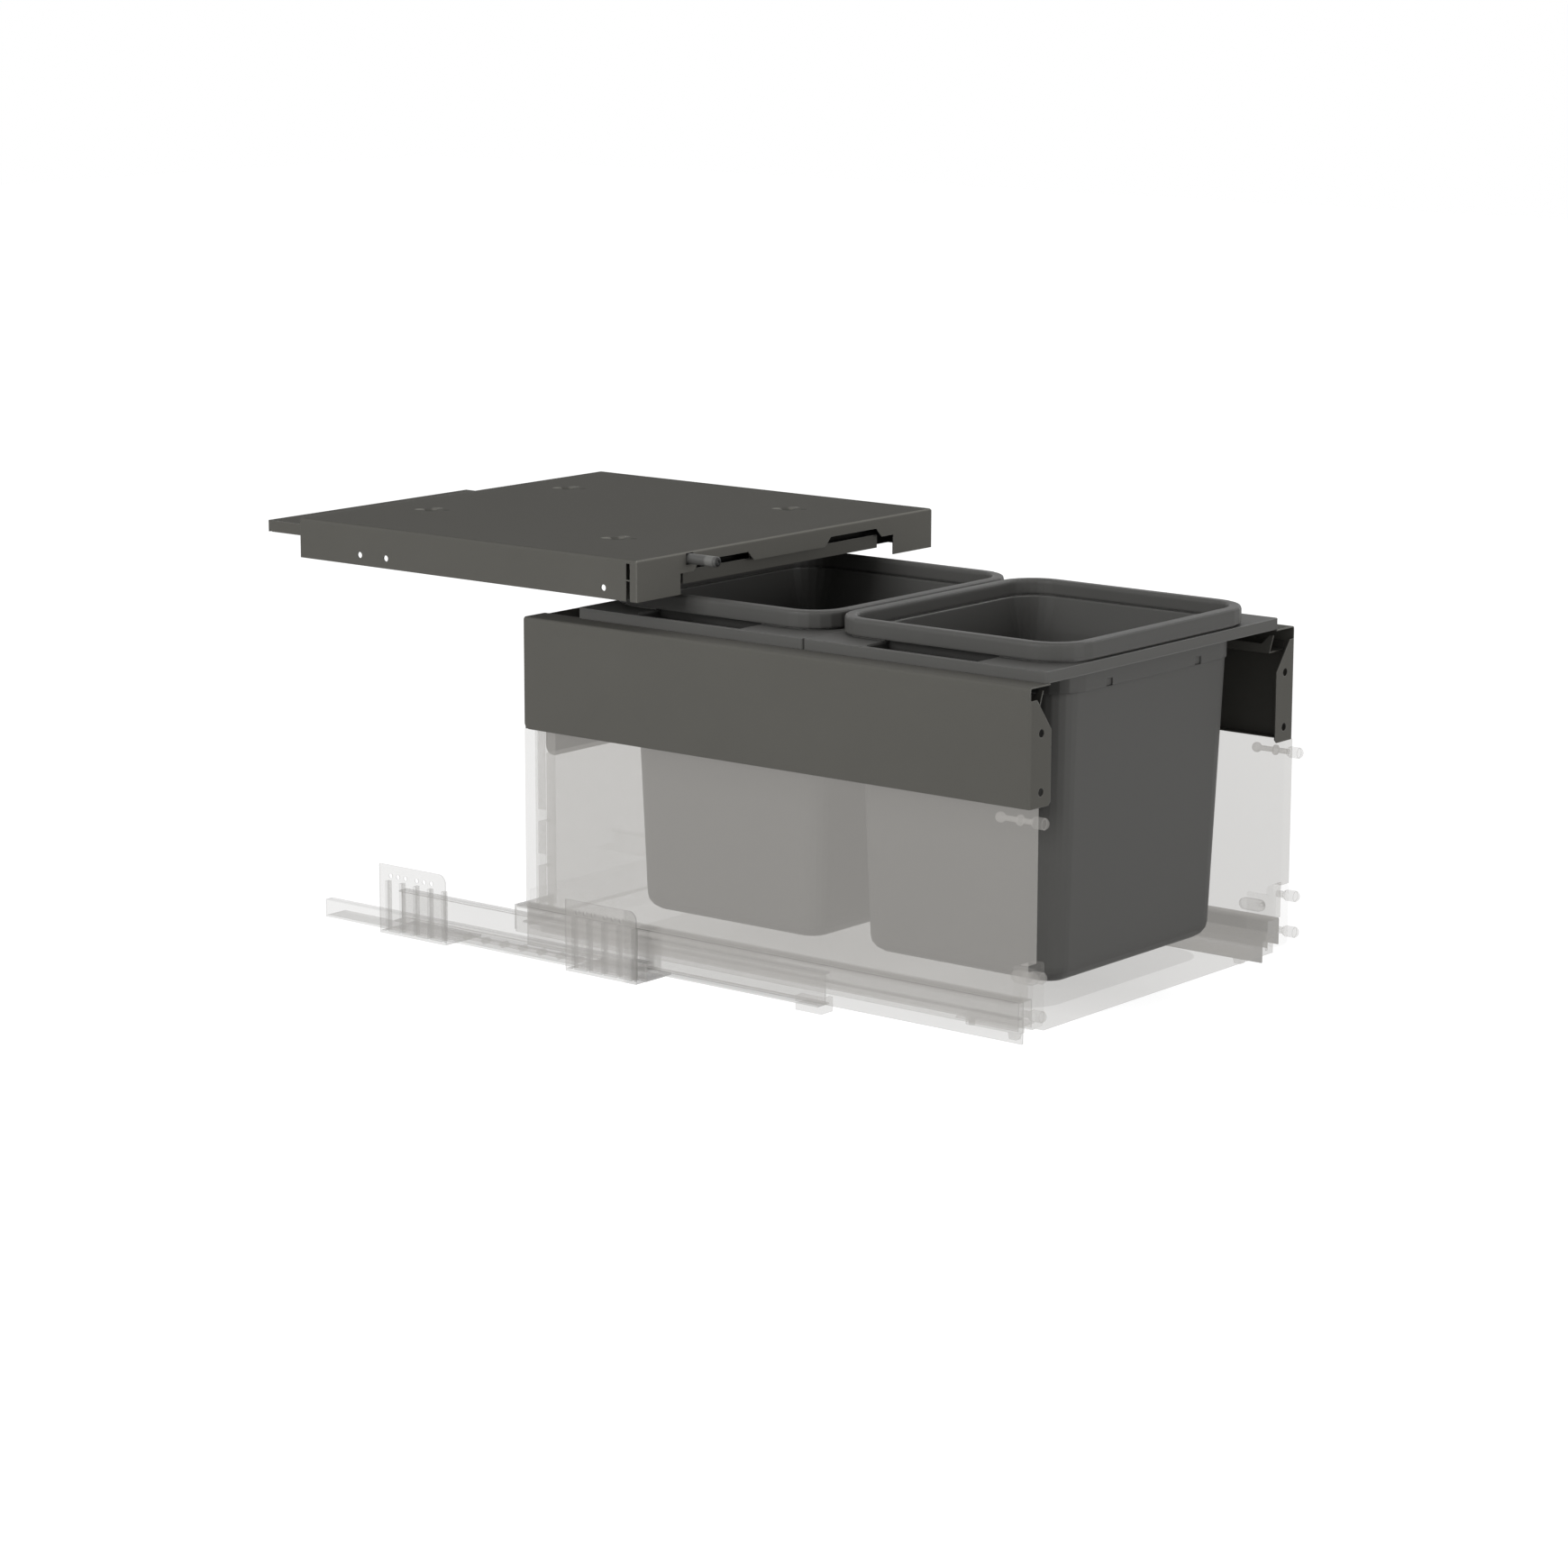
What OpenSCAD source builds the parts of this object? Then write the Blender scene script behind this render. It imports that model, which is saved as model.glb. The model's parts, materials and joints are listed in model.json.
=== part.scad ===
// Pull-out trash cabinet fitting: two lift-out bins hang in frames on a drawer,
// and a sheet-steel lid stays in the cabinet above them. Millimetres.
// Drawn as photographed, with the drawer pulled out. X is across the cabinet,
// Y runs from the drawer's front plane into the cabinet, Z is up.

/* [Cabinet] */
// Clear width inside the cabinet
cabinet_w = 414; // [400:1:440]
// How far the drawer stands open
open_now = 394; // [360:1:400]
// Pitch of the cabinet's system holes
system_pitch = 32; // [30:1:34]
// First system hole, from the cabinet's front edge
first_hole = 37; // [35:1:40]

/* [Drawer] */
// Gap from the cabinet wall to the drawer side
drawer_gap = 13; // [12.5:0.1:14]
// Length of the upper side panels
panel_l = 543; // [530:1:560]
// Height of the upper side panels
panel_h = 99; // [90:1:110]
// Top of the side panels above the lowest point
panel_top = 305; // [300:1:320]
// Sheet thickness of the side panels
panel_t = 1.2; // [1:0.1:1.5]
// Width of the panels' top flange
top_flange_w = 27.5; // [26.5:0.5:29]
// Width of the hem under the panels
hem_w = 7; // [5:0.5:9]
// Width of the panels' front flange
front_flange_w = 28; // [26:0.1:30]
// Drop from the panel's top to the front flange's top
front_flange_drop = 10.7; // [8:0.1:14]
// Flat part of the front flange's top
front_flange_flat = 8; // [6:0.5:12]
// Drop from the panel's top to the end of the front flange's slope
front_flange_slope = 37; // [34:1:44]
// Outer radius of the sheet bends
bend_r = 2.8; // [2.2:0.1:3.4]
// Diameter of the front flange's screw holes
flange_hole_d = 7; // [5:0.5:8]
// Front flange hole to the panel's outer face
flange_hole_x = 14.6; // [12:0.1:17]
// Upper front flange hole below the panel's top
flange_hole_z = 38.5; // [36:0.5:48]

/* [Low side profile] */
// Width of the hollow low side profile
profile_w = 19; // [18.5:0.5:20]
// Lower edge of the profile
profile_bottom = 22; // [21.5:0.5:24]
// Top of the profile
profile_top = 46.5; // [46.5:0.5:50]
// Sheet thickness of the profile
profile_t = 1.2; // [1:0.1:1.3]
// Distance of the profile's front end behind the front plane
profile_y0 = 9; // [8.5:0.5:11]
// Length of the profile
profile_l = 547; // [540:1:556]

/* [Infill side] */
// Thickness of the infill side
infill_t = 12; // [10:0.5:13]
// Diameter of the socket for the ball stud
socket_d = 9; // [8.5:0.1:9.5]
// Clearance of the ball in its socket
ball_clear = 0.1; // [0.05:0.05:0.3]

/* [Base and back] */
// Thickness of the base board
base_t = 16; // [15:0.5:16.5]
// Underside of the base board
base_bottom = 20; // [19.8:0.1:20.5]
// Top of the low back board
back_board_top = 57; // [54:1:66]
// Lower edge of the dark back panel
back_panel_bottom = 176.5; // [170:0.5:190]
// Thickness of the infill back
infill_back_t = 8; // [6:0.5:12]
// How far the infill back laps the back panel
infill_back_lap = 4; // [3:0.5:8]
// Corner radius of the back panel
back_panel_r = 12; // [8:1:16]
// Width of a rear post
post_w = 14.6; // [13:0.1:16]
// Depth of a rear post
post_d = 12; // [10:1:14]
// Wall of a rear post
post_t = 1.5; // [1.2:0.1:2]
// Height of the solid blocks in a rear post
block_h = 11; // [9:0.5:13]
// Length of a rear connector
connector_l = 51; // [44:1:56]

/* [Bin frames] */
// Length of one bin frame
frame_l = 249.2; // [246:0.1:252]
// Front end of the bin frames behind the front plane
frame_y0 = 2.1; // [1:0.1:4]
// Height of a bin frame
frame_h = 9.6; // [9:0.1:11]
// Gap from the panel's outer face to the frame
frame_inset = 23.6; // [23:0.1:24.5]
// Wall of the frame mouldings
frame_wall = 2.4; // [2:0.1:3]
// Gap between the two frames
frame_seam = 0.5; // [0.4:0.1:1]
// Front end of a finger slot from the frame's front
slot_y0 = 71; // [65:1:80]
// Length of a finger slot
slot_l = 118; // [100:1:122]
// Edge web outside a finger slot
slot_web = 3.4; // [3.2:0.1:4.5]
// Corner radius at a slot's rear end
slot_r = 9; // [7:1:14]
// Depth of the ledge under the frames
ledge_drop = 22; // [20:0.5:24]
// Height of the ledge's lip
ledge_lip = 8; // [6:0.5:10]
// Height of the ledge's front tab
ledge_tab = 16; // [14:0.5:18]
// Width of the ledge under the frames
ledge_w = 24; // [20:1:26]

/* [Bins] */
// Rim width of a bin
rim_w = 283; // [278:1:290]
// Rim length of a bin
rim_l = 245; // [240:0.5:246]
// Corner radius of the rim
rim_r = 37.5; // [34:0.5:40]
// Height of the rim's skirt
rim_h = 14.4; // [13:0.2:14.6]
// Width of the rim's top
rim_top_w = 11; // [10:0.2:11.6]
// Edge rounding of the rim
rim_round = 3; // [2:0.2:3.6]
// Gap between the rim's skirt and the frame
rim_lift = 2; // [1.6:0.1:2.4]
// Inset of the collar from the rim
collar_in = 10; // [9:0.1:10.2]
// Depth of the collar below the side panel's top
collar_drop = 18; // [14:1:24]
// Inset of the body's top from the rim
body_in = 13.6; // [12.6:0.1:15]
// Inset of the body's bottom from the rim
foot_in = 22; // [20:0.1:26]
// Corner radius of the body's top
body_r = 23; // [20:1:27]
// Corner radius of the body's bottom
foot_r = 19; // [17:1:23]
// Fillet under the bin
bin_fillet = 14; // [10:1:18]
// Bottom of the bins
bin_bottom = 41.5; // [40:0.5:50]
// Wall of the bins
bin_wall = 2.2; // [1.8:0.1:2.4]
// Step inside a bin, below its rim's top
inner_step = 14; // [13:0.5:18]
// Height of the groove above the step inside a bin
groove_h = 1.6; // [1.2:0.1:2]
// Depth of the groove
groove_d = 1.1; // [0.8:0.1:1.2]
// Width of the clip windows in the collar
clip_w = 9; // [6:0.5:12]
// Height of the clip windows
clip_h = 6.4; // [5:0.2:8]
// Depth of the clip windows
clip_d = 1.4; // [1:0.2:3.4]
// Clip windows from the bin's middle
clip_x = 65; // [50:1:80]
// Clearance of a bin in its frame
bin_clear = 0.6; // [0.4:0.1:0.8]

/* [Lid] */
// Clearance of the lid to each cabinet wall
lid_clear = 0.65; // [0.4:0.05:1]
// Depth of the lid
lid_l = 400; // [398:1:420]
// Height of the lid's underside above the bins' rims
lid_lift = 37; // [36:0.2:43]
// Height of the lid's flanges
lid_h = 36; // [34:0.5:36]
// Sheet thickness of the lid
lid_t = 1.2; // [1:0.1:1.5]
// How far the lid starts behind the cabinet's front edge
lid_setback = 8; // [8:0.5:11]
// Diameter of the lid's fixing holes
lid_hole_d = 5.6; // [4:0.1:6]
// Fixing holes above the flange's lower edge
lid_hole_z = 9.2; // [8:0.1:12]
// Depth of the rear cover plate behind the lid
rear_plate_l = 41.5; // [36:0.5:46]
// Drop of the rear cover plate below the lid's top
rear_plate_drop = 6; // [4:0.5:8]
// Height of the rear cover plate's edge
rear_plate_h = 10.4; // [9:0.2:12]
// How far the rear cover plate reaches into the lid
rear_plate_lap = 32; // [24:1:48]
// Right-hand end of the deep part of the rear cover plate
rear_plate_x = 57; // [40:1:80]
// Depth of the shallow part of the rear cover plate
rear_plate_short = 12; // [8:1:16]
// Width of the lid's full-height front corners
lid_corner_w = 57; // [50:1:58]
// Height of the lid's front flange between the corners
lid_front_h = 17.8; // [17:0.2:20]
// Height left above the lid's hand notches
notch_h = 9.7; // [8:0.1:12]
// Inner end of a hand notch from the middle
notch_x0 = 50; // [40:1:54]
// Outer end of a hand notch from the middle
notch_x1 = 132; // [124:1:132]
// Slope of the notch ends
notch_slope = 8; // [5:0.5:10]
// Gap between the lid's side and front flanges
lid_split = 4.3; // [3:0.1:6]
// Length of the front flange's return
lid_return = 8; // [6:0.5:10]
// Bend radius of the lid
lid_r = 2.4; // [1.8:0.1:3]
// Dimple radius on the lid
dimple_r = 8; // [6:0.5:10]
// Dimple depth
dimple_depth = 2.4; // [1.5:0.1:3]
// Rear dimples from the middle
dimple_rear_x = 94; // [80:1:110]
// Front dimples from the middle
dimple_front_x = 118.5; // [100:1:130]
// Front dimples behind the lid's front
dimple_front_y = 99; // [80:1:120]
// Rear dimples in front of the lid's rear edge
dimple_rear_y = 54; // [45:1:70]
// Length of the lap inside the lid's front corners
lap_l = 26; // [20:1:30]
// Setback of that lap from the lid's side flange
lap_in = 8; // [6:0.5:9]
// Setback of the cross strip behind the lid's front
strip_setback = 8.6; // [8.2:0.2:11]
// Half width of the cross strip
strip_x = 136; // [120:1:140]
// Drop of the cross strip below the lid's top
strip_h = 29.2; // [27:0.2:31]
// Height of the cross strip's web
strip_web = 12; // [11:0.2:13]
// Half width of the cross strip's upright middle
strip_mid_x = 46; // [34:1:48]
// Depth of the cross strip's foot
strip_foot = 14; // [10:1:18]

/* [Damper] */
// Plunger diameter
plunger_d = 9.2; // [8:0.1:9.6]
// Reach of the plunger in front of the lid
plunger_reach = 32; // [28:0.5:34]
// Stroke of the plunger
plunger_stroke = 24; // [18:1:26]
// Plunger centre from the middle of the lid
plunger_x = 137; // [135:0.5:139]
// Running clearance round the plunger
run_clear = 0.05; // [0.03:0.01:0.08]
// Wall of the damper housing
housing_wall = 2.4; // [2:0.1:3]
// Length of the plunger behind the lid's front
plunger_tail = 40; // [36:1:46]

/* [Runner] */
// Length of a cabinet rail
rail_l = 386; // [380:1:400]
// Rail front end behind the cabinet's front edge
rail_setback = 5; // [5:0.5:7]
// Outer height of the cabinet rail
rail_h = 16.5; // [16.5:0.1:16.8]
// Sheet thickness of the rails
rail_t = 1.5; // [1.4:0.1:1.5]
// Width of the cabinet rail's bottom flange
rail_w = 25; // [24:0.5:26]
// Width of the cabinet rail's top flange
rail_top_w = 9; // [8:0.5:9]
// Width of the intermediate rail's foot
mid_foot_w = 15.5; // [14:0.5:15.5]
// Foot of the intermediate rail to the cabinet rail's web
mid_foot_gap = 1; // [0.8:0.1:1.4]
// Width of the intermediate rail's head
mid_head_w = 10.5; // [9:0.5:10.5]
// Head of the intermediate rail to the profile's outer wall
mid_head_gap = 1.3; // [1:0.1:1.6]
// Intermediate rail's web from the panel's outer face
mid_web_in = 6; // [5.6:0.1:6.4]
// Drawer rail's web to the profile's inner wall
drawer_web_gap = 1; // [0.8:0.1:1.4]
// Front end of the drawer rail behind the profile's front end
drawer_rail_setback = 6.5; // [6:0.5:8]
// Lower edge of the drawer rail's web
drawer_web_bottom = 7; // [6.5:0.5:10]
// Width of the drawer rail's lower lip
drawer_lip_w = 7.3; // [6:0.1:7.5]
// Length of an intermediate rail
mid_l = 488; // [480:1:490]
// Roller diameter
roller_d = 5.8; // [5.6:0.1:5.8]
// Gap between a roller and its track
roller_gap = 0.2; // [0.2:0.05:0.25]
// Rollers in a cage
roller_count = 8; // [4:1:10]
// Length of a roller
roller_l = 6.4; // [5:0.2:6.8]
// Width of a roller cage
cage_w = 9; // [8.4:0.2:9.4]
// Thickness of a roller cage
cage_t = 2; // [1.5:0.1:2.6]
// Clearance of a roller in its cage
cage_clear = 0.3; // [0.2:0.05:0.4]
// Length of the intermediate rail's end cap
cap_l = 24; // [20:1:30]
// Thickness of the end cap's nose
cap_nose = 4; // [3:0.5:4.5]
// Lower cage from the cabinet rail's front end
lower_cage_from = 41; // [39:1:60]
// Upper cage from the intermediate rail's front end
upper_cage_from = 54; // [39:1:64]
// Length of a lower roller cage
lower_cage_l = 200; // [180:1:204]
// Length of an upper roller cage
upper_cage_l = 240; // [220:1:244]

/* [Wall bracket] */
// Width of a wall bracket
bracket_w = 81; // [76:1:84]
// Height of a wall bracket
bracket_h = 64; // [60:1:70]
// Sheet thickness of a wall bracket
bracket_t = 1.5; // [1.4:0.1:1.8]
// Reach of the bracket's foot from the wall
foot_reach = 47; // [40:1:50]
// Thickness of the bracket's foot
foot_t = 2; // [1.8:0.1:2]
// Diameter of the bracket's screw holes
bracket_hole_d = 4.4; // [3.5:0.1:5]
// Pitch of the holes in one group
bracket_hole_pitch = 9; // [8:0.5:10]
// First system hole from the bracket's front edge
bracket_hole_from = 26.2; // [20:0.2:28]
// Screw holes below the bracket's top
bracket_hole_drop = 10; // [8:0.5:12]
// Ribs on a bracket
rib_count = 5; // [3:1:6]
// Pitch of the ribs
rib_pitch = 17.2; // [13:0.1:17.6]
// Width of a rib
rib_w = 3; // [2:0.2:4]
// Depth of a rib, which the cabinet rail is fixed to
rib_depth = 5.5; // [5.5:0.1:6]
// Height of the ribs above the ground
rib_top = 48; // [40:1:52]
// First rib from the bracket's front edge
rib_y = 4; // [3:0.5:8]
// Corner radius of a bracket
bracket_r = 8; // [5:0.5:10]

/* [Front fixing] */
// Dowel diameter
dowel_d = 10; // [8:0.5:10]
// Depth of the dowels in the drawer front
dowel_l = 13; // [11:0.5:15]
// Distance of the dowels from the panel's outer face
dowel_x = 5.5; // [5.2:0.1:6]
// Height of the lower dowel
lower_dowel_z = 36.5; // [35:0.5:40]
// Height of the dowel that the infill side carries
upper_dowel_z = 195.4; // [190:0.2:197]
// Length of the ball stud behind the front plane
stud_l = 37; // [30:1:42]
// Width of a front bracket
front_bracket_w = 23; // [23:0.5:26]
// Thickness of a front bracket
front_bracket_t = 8; // [6:0.5:8]
// Lower end of a front bracket
front_bracket_bottom = 24; // [23:0.5:26]
// Top of a front bracket
front_bracket_top = 78; // [76:0.5:84]
// Length of the oval adjuster
adjuster_l = 25; // [22:0.5:28]
// Height of the oval adjuster
adjuster_h = 10.4; // [9:0.2:12]
// Thickness of the oval adjuster
adjuster_t = 4; // [3:0.2:5]
// Height of the adjuster's pivot
adjuster_z = 60.4; // [58:0.2:64]
// Pivot of the adjuster behind the front plane
adjuster_y = 13.6; // [13.4:0.1:15]
// Diameter of the adjuster's pin
adjuster_pin_d = 4; // [3:0.2:5]
// Thickness of the front bracket's ear
ear_t = 4; // [3:0.2:5]
// Length of the front bracket's ear
ear_l = 20; // [16:1:24]
// Height of the front bracket's ear
ear_top = 70; // [68:0.5:74]

/* [Lock] */
// Thickness of the lock plate
lock_plate_t = 2; // [1.6:0.1:2.5]
// Width of the lock plate
lock_plate_w = 27; // [24:1:30]
// Length of the lock plate
lock_plate_l = 60; // [54:1:64]
// Lock plate behind the front plane
lock_plate_y = 24; // [18:1:30]
// Diameter of the lever's pivot pin
lock_pin_d = 5; // [4:0.2:6]
// Thickness of the lock lever
lever_t = 5; // [4:0.2:6]
// Width of the lock lever
lever_w = 9; // [8:0.2:10]
// Height of the lever's thumb tab
tab_h = 11; // [9:0.2:11.6]
// Length of the lever's thumb tab
tab_l = 14; // [10:0.5:16]

/* [Hidden] */

$fn = 48;
// One overrun for all cuts
over = 1;
// Between pieces that pass each other
gap = 0.4;
// Steps round a quarter circle of a bin
arc_steps = 6;

dark_steel = [0.33, 0.33, 0.31];
dark_plastic = [0.29, 0.29, 0.28];
ghost = [0.84, 0.84, 0.83];
ghost_dark = [0.70, 0.70, 0.69];

// Places across the cabinet, from its middle
wall_x = cabinet_w / 2;
side_x = wall_x - drawer_gap;
profile_in_x = side_x - profile_w;
infill_in_x = side_x - infill_t;
frame_x = side_x - frame_inset;
dowel_cx = side_x - dowel_x;
bracket_in_x = side_x - front_bracket_w;

// Places along the drawer
cabinet_y = open_now;
profile_y1 = profile_y0 + profile_l;
panel_bottom = panel_top - panel_h;
base_top = base_bottom + base_t;
back_board_y = panel_l;
frames_y1 = frame_y0 + 2 * frame_l;
post_y = panel_l - post_d;

// Tops of the bins' frames and rims
frame_top = panel_top + frame_h;
rim_z0 = frame_top + rim_lift;
rim_z1 = rim_z0 + rim_h;

// Lid
lid_top = rim_z1 + lid_lift + lid_t;
lid_x = wall_x - lid_clear;
lid_y0 = cabinet_y + lid_setback;
lid_y1 = lid_y0 + lid_l;
lid_bottom = lid_top - lid_h;
lid_under = lid_top - lid_t;
lid_front_y = cabinet_y + first_hole + bracket_hole_pitch;
lid_hole_ys = [lid_front_y, lid_front_y + 8 * system_pitch, lid_front_y + 9 * system_pitch];
rear_plate_y1 = lid_y1 + rear_plate_l;
mid_y = (rear_plate_y1 - dowel_l) / 2;
plunger_z = lid_under - gap - plunger_d / 2;
plunger_y0 = lid_y0 - plunger_reach;
plunger_y1 = lid_y0 + plunger_tail;
strip_y = lid_y0 + strip_setback;
housing_y = strip_y + strip_foot / 2;
housing_y1 = plunger_y1 + plunger_stroke + over + housing_wall;

// Bins and their frames
collar_z = panel_top - collar_drop;
inner_step_z = rim_z1 - inner_step;
collar_r = rim_r - collar_in / 2;
hole_in = collar_in - bin_clear;
rim_mid_in = rim_top_w - bin_wall;
upstand_in = (rim_mid_in + bin_wall) / 2 - frame_wall / 2;

// Runner, from the bracket's foot up
track = roller_d + 2 * roller_gap;
rail_z0 = foot_t;
rail_z1 = rail_z0 + rail_h;
mid_foot_z0 = rail_z0 + rail_t + track;
mid_foot_z1 = mid_foot_z0 + rail_t;
plate_z1 = profile_top - profile_t;
plate_z0 = plate_z1 - rail_t;
head_z1 = plate_z0 - track;
head_z0 = head_z1 - rail_t;
lip_z1 = head_z0 - track;
rail_x = wall_x - bracket_t - rib_depth;
rail_y0 = cabinet_y + rail_setback;
drawer_rail_y0 = profile_y0 + drawer_rail_setback;
mid_y0 = drawer_rail_y0 + open_now / 2;
mid_foot_x = rail_x - rail_t - mid_foot_gap;
mid_web_x = side_x - mid_web_in;
mid_head_x = side_x - profile_t - mid_head_gap;
drawer_web_x = profile_in_x + profile_t + drawer_web_gap;
lower_cage_x = mid_foot_x - mid_foot_w / 2;
upper_cage_x = mid_head_x - mid_head_w / 2;
lever_z1 = base_bottom - lock_plate_t - gap;
lever_x = drawer_web_x - rail_t - lever_w;
lever_pivot_y = lock_plate_y + lock_plate_l - lever_w;
front_bracket_y = cabinet_y + first_hole - bracket_hole_from;
rear_bracket_y = front_bracket_y + 7 * system_pitch;
hole_group = [for (g = [0, 1], k = [-1:1]) g * system_pitch + k * bracket_hole_pitch];

// Helpers: extrusions along an axis, with the outline seen as on a drawing
module along_x(x0, x1) translate([x0, 0, 0]) rotate([90, 0, 90]) linear_extrude(x1 - x0) children();
module along_y(y0, y1) translate([0, y1, 0]) rotate([90, 0, 0]) linear_extrude(y1 - y0) children();
module along_z(z0, z1) translate([0, 0, z0]) linear_extrude(z1 - z0) children();
module box(low, high) translate(low) cube(high - low);
module bar(x0, z0, x1, z1) translate([x0, z0]) square([x1 - x0, z1 - z0]);
// Every piece is drawn from the drawer's front plane and moved to the shared origin
module placed() translate([0, -mid_y, 0]) children();
module left() mirror([1, 0, 0]) children();
// Hole along X, Y or Z that runs from a to b
module hole_x(x0, x1, y, z, d) translate([x0, y, z]) rotate([0, 90, 0]) cylinder(h = x1 - x0, d = d);
module hole_y(x, y0, y1, z, d) translate([x, y1, z]) rotate([90, 0, 0]) cylinder(h = y1 - y0, d = d);

// A rectangle with its top right corner rounded
module bent_rect(x0, z0, x1, z1, r) {
  bar(x0, z0, x1 - r, z1);
  bar(x0, z0, x1, z1 - r);
  translate([x1 - r, z1 - r]) circle(r);
}

// A rounded rectangle about the middle
module round_rect(w, l, r) {
  square([w - 2 * r, l], center = true);
  square([w, l - 2 * r], center = true);
  for (x = [-1, 1], y = [-1, 1]) translate([x * (w / 2 - r), y * (l / 2 - r)]) circle(r);
}

// A long hole between two centres along the first axis
module obround(x0, x1, y, d) {
  translate([x0, y - d / 2]) square([x1 - x0, d]);
  for (x = [x0, x1]) translate([x, y]) circle(d = d);
}

// Points of a rounded rectangle, counted round from the right
function ring_points(w, l, r, z) = [for (c = [0:3], i = [0:arc_steps])
  let (a = 90 * (c + i / arc_steps), sx = c == 0 || c == 3 ? 1 : -1, sy = c < 2 ? 1 : -1)
  [sx * (w / 2 - r) + r * cos(a), sy * (l / 2 - r) + r * sin(a), z]];

// A solid through rounded rectangles [inset, corner radius, height] of a bin's rim
module loft(sections) {
  rings = [for (s = sections) ring_points(rim_w - 2 * s[0], rim_l - 2 * s[0], s[1], s[2])];
  n = len(rings[0]);
  points = [for (r = rings, p = r) p];
  sides = [for (k = [0:len(rings) - 2], j = [0:n - 1])
    let (a = k * n + j, b = k * n + (j + 1) % n) [a, a + n, b + n, b]];
  base = [for (j = [0:n - 1]) j];
  top = [for (j = [n - 1:-1:0]) (len(rings) - 1) * n + j];
  polyhedron(points, concat([base], sides, [top]));
}

// Pieces of the lid, which stays in the cabinet
module lid_front_outline() {
  for (s = [1, -1]) scale([s, 1]) {
    polygon([[0, lid_top - lid_front_h], [notch_x0, lid_top - lid_front_h],
      [notch_x0 + notch_slope, lid_top - notch_h], [notch_x1 - notch_slope, lid_top - notch_h],
      [notch_x1, lid_top - lid_front_h], [lid_x - lid_corner_w, lid_top - lid_front_h],
      [lid_x - lid_corner_w, lid_bottom], [lid_x, lid_bottom], [lid_x, lid_top - lid_r],
      [0, lid_top - lid_r]]);
  }
}

// A block with its two upper edges along Y rounded, and one rounded along the front
module roof(x, y0, y1, z0, z1, r) intersection() {
  along_y(y0, y1) for (s = [1, -1]) scale([s, 1]) bent_rect(-over, z0, x, z1, r);
  along_x(-x, x) scale([-1, 1]) bent_rect(-y1 - over, z0, -y0, z1, r);
}

module lid_tray() color(dark_steel) placed() difference() {
  union() {
    difference() {
      roof(lid_x, lid_y0, lid_y1, lid_bottom, lid_top, lid_r);
      roof(lid_x - lid_t, lid_y0 + lid_t, lid_y1 + over, lid_bottom - over, lid_under, lid_r - lid_t);
    }
    for (d = dimples) translate([d[0], d[1], lid_under - dimple_depth])
      cylinder(h = dimple_depth, r1 = dimple_r / 2 + lid_t, r2 = dimple_r + lid_t);
    for (s = [1, -1]) scale([s, 1, 1])
      box([lid_x - lid_t - lap_in, lid_y0 + lid_t / 2, lid_bottom],
        [lid_x - lap_in, lid_y0 + lid_t + lap_l, lid_top - lid_t / 2]);
  }
  along_y(lid_y0 - over, lid_y0 + lid_r) difference() {
    bar(-lid_x - over, lid_bottom - over, lid_x + over, lid_top - lid_r);
    lid_front_outline();
  }
  for (d = dimples) translate([d[0], d[1], 0]) {
    translate([0, 0, lid_top - dimple_depth])
      cylinder(h = dimple_depth, r1 = dimple_r / 2, r2 = dimple_r);
    translate([0, 0, lid_under - dimple_depth - over])
      cylinder(h = dimple_depth + lid_t, r = dimple_r / 3);
    translate([dimple_pip * dimple_r, 0, lid_under - over])
      cylinder(h = lid_t + 2 * over, r = dimple_r / 6);
  }
  for (s = [1, -1], z = [[lid_bottom - over, lid_bottom + lid_h / 2 - over / 2],
    [lid_bottom + lid_h / 2 + over / 2, lid_top - lid_r - over]])
    scale([s, 1, 1]) box([lid_x - 2 * lid_t, lid_y0 + lid_return, z[0]],
      [lid_x + over, lid_y0 + lid_return + lid_split, z[1]]);
  for (y = lid_hole_ys) hole_x(-lid_x - over, lid_x + over, y, lid_bottom + lid_hole_z, lid_hole_d);
  box([-plunger_x - plunger_d / 2 - gap, lid_y0 - over, plunger_z - plunger_d / 2 - gap],
    [-plunger_x + plunger_d / 2 + gap, lid_y0 + lid_r, lid_under]);
}

// Offset of the small hole beside a dimple, in dimple radii
dimple_pip = 1.6;
dimples = [for (s = [-1, 1]) each [[s * dimple_front_x, lid_y0 + dimple_front_y],
  [s * dimple_rear_x, lid_y1 - dimple_rear_y]]];

// Channel behind the lid's front, whose back wall runs from the damper to the far corner
module lid_cross_strip() color(dark_steel) placed() {
  z0 = lid_top - strip_h;
  y1 = strip_y + strip_foot;
  wall_x0 = plunger_d / 2 + housing_wall + gap - plunger_x;
  wall_x1 = lid_x - lid_t - lap_in - gap;
  along_y(strip_y, strip_y + lid_t) {
    bar(-strip_x, z0, strip_x, z0 + strip_web);
    bar(-strip_mid_x, z0, strip_mid_x, lid_under);
  }
  box([-strip_x, strip_y, z0], [strip_x, y1, z0 + lid_t]);
  box([wall_x0, y1 - lid_t, z0], [wall_x1, y1, lid_under]);
}

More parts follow.
